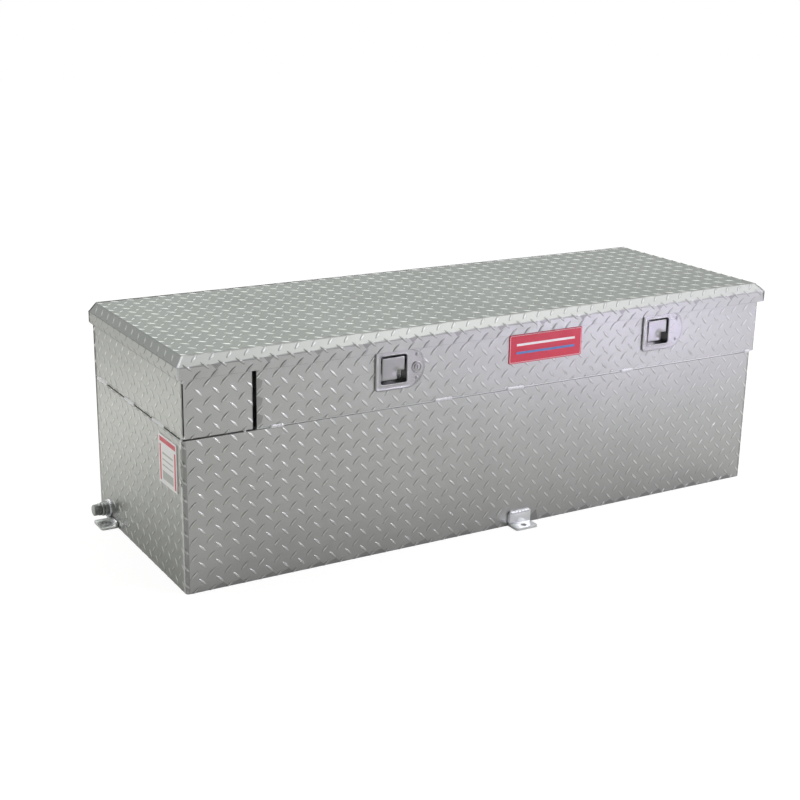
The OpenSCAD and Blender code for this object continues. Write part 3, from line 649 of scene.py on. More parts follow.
def build_upper_box(context):
    """Pump-bay panels and the tool tub's walls."""
    tread, latch = context.scene.tool_box_tread, context.scene.tool_box_latch
    plain, ends = "tread_alloy", "tread_alloy_ends"
    wall_sheet("bay_front_sheet", "bay_front_panel", "-y", UPPER_PHASE, plain)
    half_w, half_h = latch.recess_w / 2 + 2.5 * MM, latch.recess_h / 2 + 2.5 * MM
    holes = [round_box((x - half_w, z - half_h), (x + half_w, z + half_h), 6 * MM) for x, z in latch_centres()]
    wall_sheet("tub_front_sheet", "tub_front_wall", "-y", UPPER_PHASE, plain, holes=holes)
    wall_sheet("box_rear_sheet", "box_rear_wall", "+y", UPPER_PHASE, plain)

    rear_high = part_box("box_rear_wall")[1]
    for node, outward in (("bay_left_panel", -1), ("tub_left_wall", -1), ("tub_right_wall", 1)):
        low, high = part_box(node)
        step = rear_high.y - tread.plate_t - 3.5 * MM
        shape = [(low.y, low.z), (high.y, low.z), (high.y, rear_high.z), (step, rear_high.z), (step, high.z),
                 (low.y, high.z)]
        outline = [(outward * y, z) for y, z in shape]
        if outward < 0:
            outline = outline[::-1]
        at = low.x if outward < 0 else high.x
        tread_sheet(node + "_sheet", [node], FIXED, outline, flat_plane("x", at, outward),
                    (LEFT_PHASE[0] + 6 * MM, UPPER_PHASE[1] - 2 * MM), ends, rounds=edges_of(outline, tread.edge_r))


def build_lid(context):
    """The lid: one sheet folded down at the latch side and both ends, and an upright rear sheet."""
    tread = context.scene.tool_box_tread
    plain = "tread_alloy_lid"
    low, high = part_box("lid_shell")
    bevel_w, bevel_h = tread.bevel_w, tread.bevel_h
    inner = 60 * MM
    path = bent_path([(0, low.z), (0, high.z - bevel_h), (bevel_w, high.z), (inner, high.z)][::-1], tread.bend_r)
    path = (path[0][-1] - path[0][::-1], path[1][::-1], path[2][::-1])
    top_s, top_a = [(s, p[0]) for s, p in zip(path[0], path[1])][-2]
    over = top_s - top_a                         # how much longer the folded edge is than its plan
    rear = high.y - tread.plate_t

    def fold(u, v, h):
        side = np.where(u < (low.x + high.x) / 2, u - low.x, high.x - u)
        front = v - low.y
        side_a, side_z = on_path(path, side + over, h)
        front_a, front_z = on_path(path, front + over, h)
        on_side = (side < top_a) & (side < front)
        on_front = (front < top_a) & ~on_side
        a = np.where(on_side, side_a, np.where(on_front, front_a, 0))
        x = np.where(on_side, np.where(u < 0, low.x + a, high.x - a), u)
        x = np.where(on_front, np.clip(x, low.x + a, high.x - a), x)
        y = np.where(on_front, low.y + a, np.where(on_side, np.maximum(v, low.y + a), v))
        z = np.where(on_side, side_z, np.where(on_front, front_z, high.z + h))
        return np.stack([x, y, z], axis=1)

    mitre = [(s - over, p[0]) for s, p in zip(path[0], path[1]) if s <= top_s + 1e-9]
    left_down = [(low.x + out, low.y + a) for out, a in mitre]
    left_up = [(low.x + a, low.y + out) for out, a in reversed(mitre)]
    right_down = [(high.x - a, low.y + out) for out, a in mitre]
    right_up = [(high.x - out, low.y + a) for out, a in reversed(mitre)]
    outline = (left_down + left_up[1:] + right_down + right_up[1:]
               + [(high.x + over, rear), (low.x - over, rear)])
    marks = [s - over for s in path[0] if 1e-9 < s <= top_s + 1e-9]
    spans = [p[0] for s, p in zip(path[0], path[1]) if 1e-9 < s <= top_s + 1e-9]
    lines = []
    for out, a in zip(marks, spans):
        lines.append([(low.x + a, low.y + out), (high.x - a, low.y + out)])
        lines.append([(low.x + out, low.y + a), (low.x + out, rear)])
        lines.append([(high.x - out, low.y + a), (high.x - out, rear)])
    rounds = [((low.x, low.y - over), (high.x, low.y - over), tread.edge_r),
              ((low.x - over, rear), (low.x - over, low.y), tread.edge_r),
              ((high.x + over, low.y), (high.x + over, rear), tread.edge_r)]
    gap = 9 * MM
    clear = [((low.x, low.y - over), (low.x + top_a, low.y + top_a), gap),
             ((low.x - over, low.y), (low.x + top_a, low.y + top_a), gap),
             ((high.x, low.y - over), (high.x - top_a, low.y + top_a), gap),
             ((high.x + over, low.y), (high.x - top_a, low.y + top_a), gap)]

    # lugs on the lid's top get full top lightening, partly rubbing and partly painted highlight; on the sloping edges
    # they are darkened nearly all over as painted shade
    def on_top(spots):
        inset = np.minimum(spots[:, 1] - low.y, np.minimum(spots[:, 0] - low.x, high.x - spots[:, 0]))
        return np.where(inset > top_a, 1.0, 0.3)

    tread_sheet("lid_sheet", ["lid_shell"], "lid", outline, fold, TOP_PHASE, plain,
                lines=lines, rounds=rounds, clear=clear, wear_and_sheen_share=on_top)

    floor_z = JOINTS["lid_hinge"]["pos_m"][2] + 2 * MM
    shape = [(low.x, floor_z), (high.x, floor_z), (high.x, high.z - bevel_h), (high.x - bevel_w, high.z),
             (low.x + bevel_w, high.z), (low.x, high.z - bevel_h)]
    outline = [(-x, z) for x, z in reversed(shape)]
    tread_sheet("lid_rear_sheet", ["lid_shell"], "lid", outline, flat_plane("y", high.y, 1), UPPER_PHASE, plain,
                rounds=edges_of(outline, tread.edge_r))


# --- welds ----------------------------------------------------------------------------------------
def bead(maker, start, end, out, width, height, ripple=3.2 * MM):
    """A rippled weld bead from start to end that swells towards out."""
    start, end, out = Vector(start), Vector(end), Vector(out).normalized()
    along = end - start
    size = along.length
    along.normalize()
    side = along.cross(out)
    steps, across = max(10, int(size / (0.8 * MM))), 10
    rings = []
    for k in range(steps + 1):
        s = size * k / steps
        close = min(1.0, math.sqrt(max(0.0, min(s, size - s) / (width * 0.45))))
        ring = []
        for i in range(across + 1):
            t = -1 + 2 * i / across
            wave = math.sin(2 * math.pi * (s / ripple + 0.35 * t * t))
            drift = 0.10 * math.sin(s * 310) + 0.07 * math.sin(s * 733 + 1.3)
            w = width / 2 * (0.25 + 0.75 * close) * (1 + 0.07 * wave + drift * 0.6)
            h = height * close * math.sqrt(max(0.0, 1 - t * t)) * (1 + 0.16 * wave + drift)
            ring.append(start + along * s + side * (w * t) + out * h)
        for t in (0.8, -0.8):
            ring.append(start + along * s + side * (width / 2 * t * (0.25 + 0.75 * close)) - out * (0.8 * MM))
        rings.append(ring)
    maker.loft(rings, start=True, end=True)


def ring_bead(maker, centre, axis, radius, width, height, side=1, ripple=3.4 * MM):
    """A rippled fillet weld round a pipe, against a plate square to the axis."""
    rings = []
    for turn in full_turn(max(48, int(2 * math.pi * radius / (0.9 * MM)))):
        swell = 1 + 0.07 * math.sin(turn * radius / ripple * 2 * math.pi) + 0.05 * math.sin(3 * turn)
        section = [(side * height * swell * math.sin(a), radius + width * swell * math.cos(a))
                   for a in (math.pi / 2 * i / 6 for i in range(7))]
        foot = (0.0, radius - 0.2 * MM)
        rings.append([spun(centre, axis, rise, r, turn) for rise, r in [*section, foot]])
    maker.loft(rings + rings[:1])


# where the photo shows weld along the box, in mm, from and to
FRONT_STITCHES = ((-618, -612), (-560, -528), (-169, -124), (20, 66), (341, 377), (727, 747))
LEFT_STITCHES = ((-254, -248), (-160, -94), (10, 70), (180, 245))
BAY_TACKS = (335.5, 449)         # heights of the tacks in the bay's front corner
CORNER_RUNS = ((0.5, 230), (307.5, 326))


def build_welds(context):
    """Stitch welds along the seam, corner welds, and fillets round what is welded on."""
    tread = context.scene.tool_box_tread
    metal = "weld_metal"
    low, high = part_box("tank_front")
    seam_z = (high.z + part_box("bay_front_panel")[0].z) / 2
    face = low.y + tread.lug_h
    seam = Maker()
    for start, end in FRONT_STITCHES:
        bead(seam, (start * MM, face, seam_z), (end * MM, face, seam_z), (0, -1, 0), 8.5 * MM, 2.0 * MM)
    side = low.x + tread.lug_h
    for start, end in LEFT_STITCHES:
        bead(seam, (side, start * MM, seam_z), (side, end * MM, seam_z), (-1, 0, 0), 8.0 * MM, 2.0 * MM)
    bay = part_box("bay_front_panel")[0].x - 1.5 * MM
    for z in BAY_TACKS:
        bead(seam, (bay, face - 0.4 * MM, (z - 4) * MM), (bay, face - 0.4 * MM, (z + 4) * MM), (-0.6, -1, 0),
             6 * MM, 1.6 * MM)
    piece = seam.piece("seam_stitch_welds", FIXED, "weld", [metal], crease=60)
    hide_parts("seam_welds")

    corners = Maker()
    for x, out in ((low.x, -1), (high.x, 1)):
        x -= out * tread.lug_h
        for start, end in CORNER_RUNS:
            bead(corners, (x, high.y + 0.6 * MM, start * MM), (x, high.y + 0.6 * MM, end * MM), (out, 0, 0),
                 7 * MM, 1.1 * MM, ripple=5 * MM)
    piece = corners.piece("tank_corner_welds", FIXED, "weld", [metal], crease=60)
    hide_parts("corner_welds")

    fillets = Maker()
    tab_low, tab_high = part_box("tab_front")
    top = tab_high.z
    bead(fillets, (tab_low.x + 1 * MM, low.y - 2.2 * MM, top), (tab_high.x - 1 * MM, low.y - 2.2 * MM, top),
         (0, -1, 1), 9 * MM, 2.2 * MM, ripple=4 * MM)
    for x, out in ((tab_low.x, -1), (tab_high.x, 1)):
        bead(fillets, (x, low.y - 2 * MM, 7 * MM), (x, low.y - 2 * MM, top - 1 * MM), (out, -1, 0), 7 * MM, 1.6 * MM)
    for node, x, out in (("tab_left", low.x, -1), ("tab_right", high.x, 1)):
        t_low, t_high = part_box(node)
        bead(fillets, (x + out * 2 * MM, t_low.y + 2 * MM, t_high.z), (x + out * 2 * MM, t_high.y - 2 * MM, t_high.z),
             (out, 0, 1), 7 * MM, 1.8 * MM, ripple=4 * MM)
    boss_low, boss_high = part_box("outlet_boss")
    centre = (low.x + tread.lug_h, (boss_low.y + boss_high.y) / 2, (boss_low.z + boss_high.z) / 2)
    ring_bead(fillets, centre, "x", (boss_high.z - boss_low.z) / 2, 5 * MM, 5 * MM, side=-1)
    for node, radius, size in (("filler_neck", None, 4 * MM), ("vent_valve", 11 * MM, 3 * MM)):
        n_low, n_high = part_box(node)
        middle = ((n_low.x + n_high.x) / 2, (n_low.y + n_high.y) / 2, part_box("tank_top")[1].z)
        ring_bead(fillets, middle, "z", radius or (n_high.x - n_low.x) / 2, size, size)
    fillets.piece("fitting_fillet_welds", FIXED, "weld", [metal], crease=60)

    lid_low, lid_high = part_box("lid_shell")
    mitres = Maker()
    for x, out in ((lid_low.x, -1), (lid_high.x, 1)):
        deep = tread.lug_h * 0.9
        foot = Vector((x - out * deep, lid_low.y + deep, lid_low.z + 1 * MM))
        knee = Vector((x - out * deep, lid_low.y + deep, lid_high.z - tread.bevel_h))
        peak = Vector((x - out * (tread.bevel_w + 1 * MM), lid_low.y + tread.bevel_w + 1 * MM, lid_high.z - deep))
        bead(mitres, foot, knee, (out, -1, 0), 4.5 * MM, 0.9 * MM, ripple=4 * MM)
        bead(mitres, knee, peak, (out, -1, 1.2), 4.5 * MM, 0.9 * MM, ripple=4 * MM)
    mitres.piece("lid_corner_welds", "lid", "weld", [metal], crease=60)


# --- latches --------------------------------------------------------------------------------------
FACE_DISH = 0.75 * MM            # how far the face plate lies behind its rim


def face_outline(latch, inset):
    """The face plate's outline about the latch's centre: square to the left, round to the right."""
    r = latch.lobe_r - inset
    c = latch.corner_r - min(inset, 4 * MM)
    x = -latch.left + inset + c
    return (arc((latch.lobe_x, 0), r, -90, 90, 28) + arc((x, r - c), c, 90, 180, 7)
            + arc((x, c - r), c, 180, 270, 7))


def recess_outline(latch, grow, radius):
    w, h = latch.recess_w / 2 + grow, latch.recess_h / 2 + grow
    return round_box((-w, -h), (w, h), radius)


def build_latch_pan(context, side, centre):
    """Face plate with a rolled rim and the recess pressed into it."""
    latch = context.scene.tool_box_latch
    node = f"latch_{side}_pan"
    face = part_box(node)[0].y
    back = face + latch.face_t
    floor = face + latch.recess_d
    maker = Maker()

    def ring(outline, y):
        return [(centre[0] + u, y, centre[1] + v) for u, v in outline]

    def flat(outline, hole, y, away=1):
        """A flat part between two outlines, facing the front, or the back where away is -1."""
        spots, triangles = triangulate(outline, [hole])
        maker.add(ring(spots, y), [t[::away] for t in triangles])

    # in mm: the face plate's rim as (inset, depth) and the recess's lip as (grow, corner radius, depth)
    rim = [(0, latch.face_t / MM), (0, latch.face_t / MM - 0.7), (0.5, 0.9), (1.6, 0.15), (2.6, 0), (4.2, 0.05),
           (5.4, 0.55), (6.2, 0.75)]
    deep = latch.recess_d / MM
    lip = [(3.4, 8, 0.75), (2.6, 7.5, 0.2), (1.8, 7, 0), (0.9, 6.5, 0.25), (0.25, 6, 1.1), (0, 5.5, 2.4),
           (-0.4, 5.5, deep - 2.5), (-1.2, 5, deep - 0.8), (-3, 4, deep)]
    outlines = [face_outline(latch, inset * MM) for inset, _ in rim]
    maker.loft([ring(outline, face + y * MM) for outline, (_, y) in zip(outlines, rim)])
    lips = [recess_outline(latch, grow * MM, r * MM) for grow, r, _ in lip]
    maker.loft([ring(outline, face + y * MM) for outline, (_, _, y) in zip(lips, lip)])
    flat(outlines[-1], lips[0], face + FACE_DISH)
    arm_x, arm_w = 20 * MM, 13 * MM              # the slot that the paddle's arm reaches through
    slot = box_outline((arm_x - arm_w / 2, -6 * MM), (arm_x + arm_w / 2, 24 * MM))
    flat(lips[-1], slot, floor)
    shell = 1.4 * MM
    behind, edge = recess_outline(latch, shell, 6.5 * MM), face_outline(latch, 1.0 * MM)
    maker.loft([ring(edge, back), ring(outlines[0], back)])
    maker.loft([ring(behind, floor), ring(behind, back)])
    flat(edge, behind, back, -1)
    flat(behind, slot, floor + shell, -1)
    maker.loft([ring(behind, y) for y in (floor, floor + shell)])
    maker.loft([ring(slot, y) for y in (floor, floor + shell)])
    piece = maker.piece(f"latch_{side}_face_and_recess", FIXED, "stainless", ["stainless_brushed"], crease=40)
    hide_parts(node)


def build_paddle(context, side, centre):
    """Paddle with a finger cut, a pressed scoop, ears on its pin and an arm through the recess."""
    latch = context.scene.tool_box_latch
    node = f"latch_{side}_paddle"
    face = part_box(node)[0].y
    pin = JOINTS[f"paddle_{side}_pull"]["pos_m"]
    plate_top, plate_foot = centre[1] + 25.5 * MM, centre[1] - 22.5 * MM
    left, right = centre[0] - 27 * MM, centre[0] + 27 * MM
    r = 2.5 * MM
    cut_x, cut_z = right - latch.cut_w, plate_foot + latch.cut_h
    outline = (arc((cut_x - r, plate_foot + r), r, -90, 0, 4) + arc((cut_x + r, cut_z - r), r, 180, 90, 4)
               + arc((right - r, cut_z + r), r, -90, 0, 4) + arc((right - r, plate_top - r), r, 0, 90, 4)
               + arc((left + r, plate_top - r), r, 90, 180, 4) + arc((left + r, plate_foot + r), r, 180, 270, 4))
    step = 1.5 * MM                              # between the points that carry the scoop
    inside = [(u, v) for u in np.arange(left + step, right - step / 2, step)
              for v in np.arange(plate_foot + step, plate_top - step / 2, step)
              if not (u > cut_x - step and v < cut_z + step)]
    scoop = (centre[0] + 6 * MM, centre[1] - 6 * MM)

    def lift(spots):
        du, dv = spots[:, 0] - scoop[0], spots[:, 1] - scoop[1]
        reach_u, reach_v = 14 * MM, np.where(dv > 0, 13 * MM, 11 * MM)
        t = np.clip(np.sqrt((du / reach_u) ** 2 + (dv / reach_v) ** 2), 0, 1)
        dish = latch.scoop_d * 0.5 * (1 + np.cos(math.pi * t))
        edge = np.zeros(len(spots))
        ring = np.array(outline + outline[:1])
        for a, b in zip(ring[:-1], ring[1:]):
            d = b - a
            s = np.clip(((spots - a) @ d) / max(float(d @ d), 1e-12), 0, 1)
            gap = np.linalg.norm(spots - a - s[:, None] * d, axis=1)
            edge = np.maximum(edge, np.clip(1 - gap / (1.4 * MM), 0, 1) ** 2)
        return -dish - 0.7 * MM * edge, np.zeros(len(spots))

    def to_space(u, v, h):
        return np.stack([u, face - h, v], axis=1)

    maker = Maker()
    sheet(maker, outline, to_space, lift, latch.paddle_t, points=inside)
    arm_x, back, depth = centre[0] + 20 * MM, pin[1] + 4 * MM, face + 1.8 * MM
    edge_r = 0.5 * MM
    for x in (left, arm_x - 5 * MM):
        maker.block((x, depth, pin[2] - 7 * MM), (x + 3 * MM, back, pin[2] + 4 * MM), edge_r)
    maker.block((arm_x - 5 * MM, depth, pin[2] - 4 * MM), (arm_x + 5 * MM, back, pin[2] + 3.9 * MM), edge_r)
    maker.block((arm_x - 4 * MM, pin[1], pin[2] - 3 * MM),
                (arm_x + 4 * MM, pin[1] + 24 * MM, pin[2] + 1 * MM), edge_r)
    piece = maker.piece(node + "_plate", node, "stainless", ["stainless_paddle"], crease=50)
    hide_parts(node)


def build_latches(context):
    """Both latches with their rivets and the key lock."""
    latch = context.scene.tool_box_latch
    centres = latch_centres()
    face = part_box("latch_left_pan")[0].y
    for side, centre in zip(("left", "right"), centres):
        build_latch_pan(context, side, centre)
        build_paddle(context, side, centre)
    rivets = Maker()
    low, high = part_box("latch_rivets")
    flat = face + FACE_DISH
    dome = [(-1.9 * MM * math.cos(a), 4.2 * MM * math.sin(a)) for a in np.linspace(0, math.pi / 2, 8)]
    shank = in_mm((3.0, 3.9), (3.0, 2.4), (7.5, 2.4), (7.5, 3.6), (9.5, 3.2))
    for x, _ in centres:
        for z in (low.z + 4 * MM, high.z - 4 * MM):
            rivets.loft(turned(dome + shank, (x + latch.key_x, flat, z), "y", 28), start=True, end=True)
    piece = rivets.piece("latch_rivet_heads", FIXED, "stainless", ["stainless_brushed"], crease=40)
    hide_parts("latch_rivets")

    barrel = Maker()
    low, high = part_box("key_barrel")
    centre = ((low.x + high.x) / 2, flat, (low.z + high.z) / 2)
    bezel = in_mm((24, 10), (0.5, 10), (0.5, 13), (-0.6, 13), (-1.5, 12.4), (-2.0, 11.2), (-2.0, 9.6), (-1.4, 8.8),
                  (-0.5, 8.3), (-0.5, 6.56), (24, 6.56))
    rings = turned(bezel, centre, "y", 48)
    barrel.loft(rings + rings[:1])
    behind_wall = (centre[0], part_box("tub_front_wall")[1].y, centre[2])
    nut = turned(in_mm((0, 10), (0, 14), (4, 14), (4, 10)), behind_wall, "y", 6)
    barrel.loft(nut + nut[:1])
    piece = barrel.piece("key_lock_barrel", FIXED, "stainless", ["stainless_brushed"], crease=35)
    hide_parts("key_barrel")


# --- fittings -------------------------------------------------------------------------------------
def build_fittings(context):
    """Outlet boss and cap, and the filler cap, turned and fluted."""
    low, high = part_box("outlet_boss")
    middle = (low + high) / 2
    r, bore, deep = (high.z - low.z) / 2, 10 * MM, high.x - low.x
    boss = Maker()
    profile = [(deep, bore), (deep, r), (9 * MM, r), (8 * MM, r - 1.2 * MM), (6.5 * MM, r - 1.2 * MM),
               (5.5 * MM, r - 0.3 * MM), (1.2 * MM, r - 0.3 * MM), (0, r - 1.6 * MM), (0, bore)]
    rings = turned(profile, (low.x, middle.y, middle.z), "x", 48)
    boss.loft(rings + rings[:1])
    piece = boss.piece("outlet_boss_turned", FIXED, "zinc", ["zinc_plate"], crease=35)
    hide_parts("outlet_boss")

    low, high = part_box("outlet_cap")
    size = (high.x - low.x) / MM
    centre = (low.x, middle.y, middle.z)
    knob = in_mm((0, 8), (0, 10.8), (0.9, 12.2), (2.2, 12.9), (10.2, 12.9), (11.0, 12.2), (11.0, 11.6))
    nut = in_mm((11.6, 13.7), (12.2, 14), (17.0, 14), (17.6, 13.7), (size, 12.6))
    bore = in_mm((size, 10.06), (3, 10.06))

    def fluted(radius, turn):
        return radius - (0.9 * MM if radius > 11 * MM else 0.0) * (0.5 - 0.5 * math.cos(24 * turn)) ** 3

    def six_sided(radius, turn):
        return radius * math.cos(math.pi / 6) / math.cos(turn % (math.pi / 3) - math.pi / 6)

    cap = Maker()
    rings = [ring for profile, shape in ((knob, fluted), (nut, six_sided), (bore, None))
             for ring in turned(profile, centre, "x", 144, shape)]
    cap.loft(rings, start=True, end=True)
    piece = cap.piece("outlet_cap_turned", "outlet_cap", "zinc", ["zinc_plate"], crease=30)
    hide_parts("outlet_cap")

    low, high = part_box("filler_cap")
    centre = ((low.x + high.x) / 2, (low.y + high.y) / 2, low.z)
    tall, r, neck = (high.z - low.z) / MM, (high.x - low.x) / 2 / MM, 30.4
    profile = [(22.3, neck, 0), (0, neck, 0), (0, neck, 0), (0, r - 2.5, 0), (1.5, r - 0.6, 0), (3, r, 1),
               (tall - 5, r - 0.6, 1), (tall - 3, r - 1.8, 0.4), (tall - 0.9, r - 4, 0), (tall, r - 7, 0),
               (tall - 0.6, 18, 0), (tall - 1.2, 10, 0), (tall - 1.2, 0.05, 0)]
    rings = []
    for along, radius, share in profile:
        rings += turned(in_mm((along, radius)), centre, "z", 240,
                        lambda r, turn: r - share * 2 * MM * (0.5 - 0.5 * math.cos(12 * turn)) ** 4)
    cap = Maker()
    cap.loft(rings, start=True, end=True)
    piece = cap.piece("filler_cap_moulded", "filler_cap", "cap_plastic", ["plastic_black"], crease=35)
    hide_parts("filler_cap")


def build_plates(context):
    """The red plate on the tub and the pale label on the tank's end: plain bars and lines, no words."""
    low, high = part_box("badge")
    face = low.y
    back = high.y + context.scene.tool_box_tread.lug_h
    maker = Maker()
    width, tall = high.x - low.x, high.z - low.z

    def ring(inset, y, r):
        return [(low.x + u, y, low.z + v) for u, v in round_box((inset, inset), (width - inset, tall - inset), r)]

    # the plate's sides and back take the darker copy of the red: painted shade
    maker.loft([ring(0, back, 4 * MM), ring(0, face + 0.3 * MM, 4 * MM), ring(0.3 * MM, face, 3.8 * MM)], tint=1)
    maker.loft([ring(0.3 * MM, face, 3.8 * MM), ring(2.2 * MM, face, 3.2 * MM)], tint=0)
    maker.loft([ring(2.2 * MM, face, 3.2 * MM), ring(3.0 * MM, face, 3.0 * MM)], tint=2)
    field = round_box((3.0 * MM, 3.0 * MM), (width - 3.0 * MM, tall - 3.0 * MM), 3.0 * MM)
    bars = [box_outline((width * a, tall * b), (width * c, tall * d)) for a, b, c, d in
            ((0.10, 0.60, 0.90, 0.68), (0.10, 0.32, 0.90, 0.40))]
    spots, triangles = triangulate(field, bars)
    maker.add([(low.x + u, face, low.z + v) for u, v in spots], triangles, tint=0)
    for tint, bar in zip((2, 3), bars):
        maker.add([(low.x + u, face, low.z + v) for u, v in bar], [[0, 1, 2, 3]], tint=tint)
    rear = ring(0, back, 4 * MM)
    maker.add(rear, [list(range(len(rear)))[::-1]], tint=1)
    finishes = ["vinyl_red", "vinyl_red_edge", "vinyl_pale", "vinyl_blue"]
    piece = maker.piece("red_plate", FIXED, "badge_red", finishes, crease=30)
    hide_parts("badge")

    low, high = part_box("label")
    face = low.x
    back = high.x + context.scene.tool_box_tread.lug_h
    width, tall = high.y - low.y, high.z - low.z

    def at(u, v, x):
        return (x, high.y - u, low.z + v)

    maker = Maker()
    outer = round_box((0, 0), (width, tall), 3 * MM)
    maker.loft([[at(u, v, back) for u, v in outer], [at(u, v, face) for u, v in outer]], tint=0)
    maker.add([at(u, v, back) for u, v in outer], [list(range(len(outer)))[::-1]])
    bars = [(0.05, 0.86, 0.95, 0.96), (0.05, 0.05, 0.13, 0.80), (0.87, 0.05, 0.95, 0.80), (0.20, 0.62, 0.80, 0.66),
            (0.20, 0.50, 0.80, 0.53), (0.20, 0.38, 0.80, 0.41), (0.20, 0.10, 0.80, 0.28)]
    shapes = [box_outline((width * a, tall * b), (width * c, tall * d)) for a, b, c, d in bars]
    spots, triangles = triangulate(outer, shapes)
    maker.add([at(u, v, face) for u, v in spots], triangles)
    for k, bar in enumerate(shapes):
        maker.add([at(u, v, face) for u, v in bar], [[0, 1, 2, 3]], tint=1 if k < 3 else 2)
    finishes = ["vinyl_label", "vinyl_label_red", "vinyl_label_grey"]
    piece = maker.piece("pale_label", FIXED, "label_white", finishes, crease=30)
    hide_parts("label")


# --- finishes -------------------------------------------------------------------------------------
def node(tree, kind, *inputs, **values):
    """A shader node. Its first inputs are given in order and others by name, each as a value or as a socket to
    link, and None leaves an input as it is. Other names are the node's own settings."""
    made = tree.nodes.new(kind)
    by_name = {}
    for name, value in values.items():
        if name in made.bl_rna.properties:
            setattr(made, name, value)
        else:
            by_name[name.replace("_", " ")] = value
    for key, value in [*enumerate(inputs), *by_name.items()]:
        if isinstance(value, bpy.types.NodeSocket):
            tree.links.new(value, made.inputs[key])
        elif value is not None:
            made.inputs[key].default_value = value
    return made


def maths(tree, operation, *inputs):
    return node(tree, "ShaderNodeMath", *inputs, operation=operation).outputs[0]


def mix_colours(tree, kind, below, above):
    """One colour blended wholly over another. The colour inputs of the node are numbers 6 and 7."""
    return node(tree, "ShaderNodeMix", 1.0, None, None, None, None, None, below, above,
                data_type="RGBA", blend_type=kind).outputs[2]


def group(name, inputs, outputs):
    """An empty node group with its sockets, or None if it exists."""
    if name in bpy.data.node_groups:
        return None, None, None
    made = bpy.data.node_groups.new(name, "ShaderNodeTree")
    for label, kind, value in inputs:
        made.interface.new_socket(label, in_out="INPUT", socket_type=kind).default_value = value
    for label, kind in outputs:
        made.interface.new_socket(label, in_out="OUTPUT", socket_type=kind)
    return made, made.nodes.new("NodeGroupInput"), made.nodes.new("NodeGroupOutput")


def rolled_grain():
    """Fine lines left by the rolls, and soft clouds where the sheet took up oil and oxide."""
    name = "Rolled grain"
    tree, taken, given = group(name, [("Lay", "NodeSocketVector", (9.0, 900.0, 900.0)),
                                      ("Lines", "NodeSocketFloat", 0.10), ("Clouds", "NodeSocketFloat", 0.12)],
                               [("Tone", "NodeSocketFloat"), ("Rough", "NodeSocketFloat"),
                                ("Height", "NodeSocketFloat")])
    if tree is None:
        return bpy.data.node_groups[name]
    spot = node(tree, "ShaderNodeTexCoord").outputs["Object"]
    stretched = node(tree, "ShaderNodeVectorMath", spot, taken.outputs["Lay"], operation="MULTIPLY").outputs[0]
    lines = node(tree, "ShaderNodeTexNoise", stretched, Scale=1.0, Detail=3.0, Roughness=0.6).outputs[0]
    clouds = node(tree, "ShaderNodeTexNoise", spot, Scale=5.5, Detail=5.0, Roughness=0.62).outputs[0]
    parts = [maths(tree, "MULTIPLY", maths(tree, "SUBTRACT", source, 0.5), taken.outputs[amount])
             for source, amount in ((lines, "Lines"), (clouds, "Clouds"))]
    both = maths(tree, "ADD", *parts)
    tree.links.new(maths(tree, "ADD", both, 1.0), given.inputs["Tone"])
    tree.links.new(both, given.inputs["Rough"])
    tree.links.new(lines, given.inputs["Height"])
    return tree


def lug_wear_sheen_and_shade():
    """Lug tops lightened, partly as real rubbing and partly as painted highlight, and painted shade at their feet,
    from a mask that is 1 on a lug's ridge. Where the mask is -1, an edge is painted dark as the shade in a seam.
    """
    name = "Worn lugs"
    tree, taken, given = group(name, [("Lug", "NodeSocketFloat", 0.0), ("Wear", "NodeSocketFloat", 0.35),
                                      ("Grime", "NodeSocketFloat", 0.35)],
                               [("Tone", "NodeSocketFloat"), ("Rough", "NodeSocketFloat")])
    if tree is None:
        return bpy.data.node_groups[name]
    lug, spot = taken.outputs["Lug"], node(tree, "ShaderNodeTexCoord").outputs["Object"]
    patchy = node(tree, "ShaderNodeTexNoise", spot, Scale=38.0, Detail=2.0).outputs[0]

    def ranged(value, **values):
        return node(tree, "ShaderNodeMapRange", value, **values).outputs[0]

    vary = ranged(patchy, From_Min=0.35, From_Max=0.65, To_Min=0.4, To_Max=1.0)
    top = ranged(lug, interpolation_type="SMOOTHSTEP", From_Min=0.15, From_Max=0.9)
    foot = ranged(lug, interpolation_type="SMOOTHSTEP", From_Min=0.3, From_Max=0.02)
    on_lug = maths(tree, "GREATER_THAN", lug, 0.004)
    # lighter lug tops: partly real rubbing, partly painted highlight
    bright = maths(tree, "MULTIPLY", maths(tree, "MULTIPLY", top, vary), taken.outputs["Wear"])
    # darker lug feet: painted shade where each lug meets the plate
    dark = maths(tree, "MULTIPLY", maths(tree, "MULTIPLY", foot, on_lug), taken.outputs["Grime"])
    change = maths(tree, "SUBTRACT", bright, dark)
    # an edge mask of -1 darkens the tone to 0.22: painted shade in a seam gap
    seam = ranged(lug, From_Min=-1.0, From_Max=0.0, To_Min=0.22, To_Max=1.0)
    tree.links.new(maths(tree, "MULTIPLY", maths(tree, "ADD", change, 1.0), seam), given.inputs["Tone"])
    tree.links.new(change, given.inputs["Rough"])
    return tree


def fine_specks():
    """Small scratches, pits and dust as a mask and a height."""
    name = "Fine specks"
    tree, taken, given = group(name, [("Scale", "NodeSocketFloat", 260.0)],
                               [("Mask", "NodeSocketFloat"), ("Height", "NodeSocketFloat")])
    if tree is None:
        return bpy.data.node_groups[name]
    spot = node(tree, "ShaderNodeTexCoord").outputs["Object"]
    noise = node(tree, "ShaderNodeTexNoise", spot, Scale=taken.outputs["Scale"], Detail=4.0, Roughness=0.7).outputs[0]
    mask = node(tree, "ShaderNodeMapRange", noise, From_Min=0.52, From_Max=0.72).outputs[0]
    tree.links.new(mask, given.inputs["Mask"])
    tree.links.new(noise, given.inputs["Height"])
    return tree


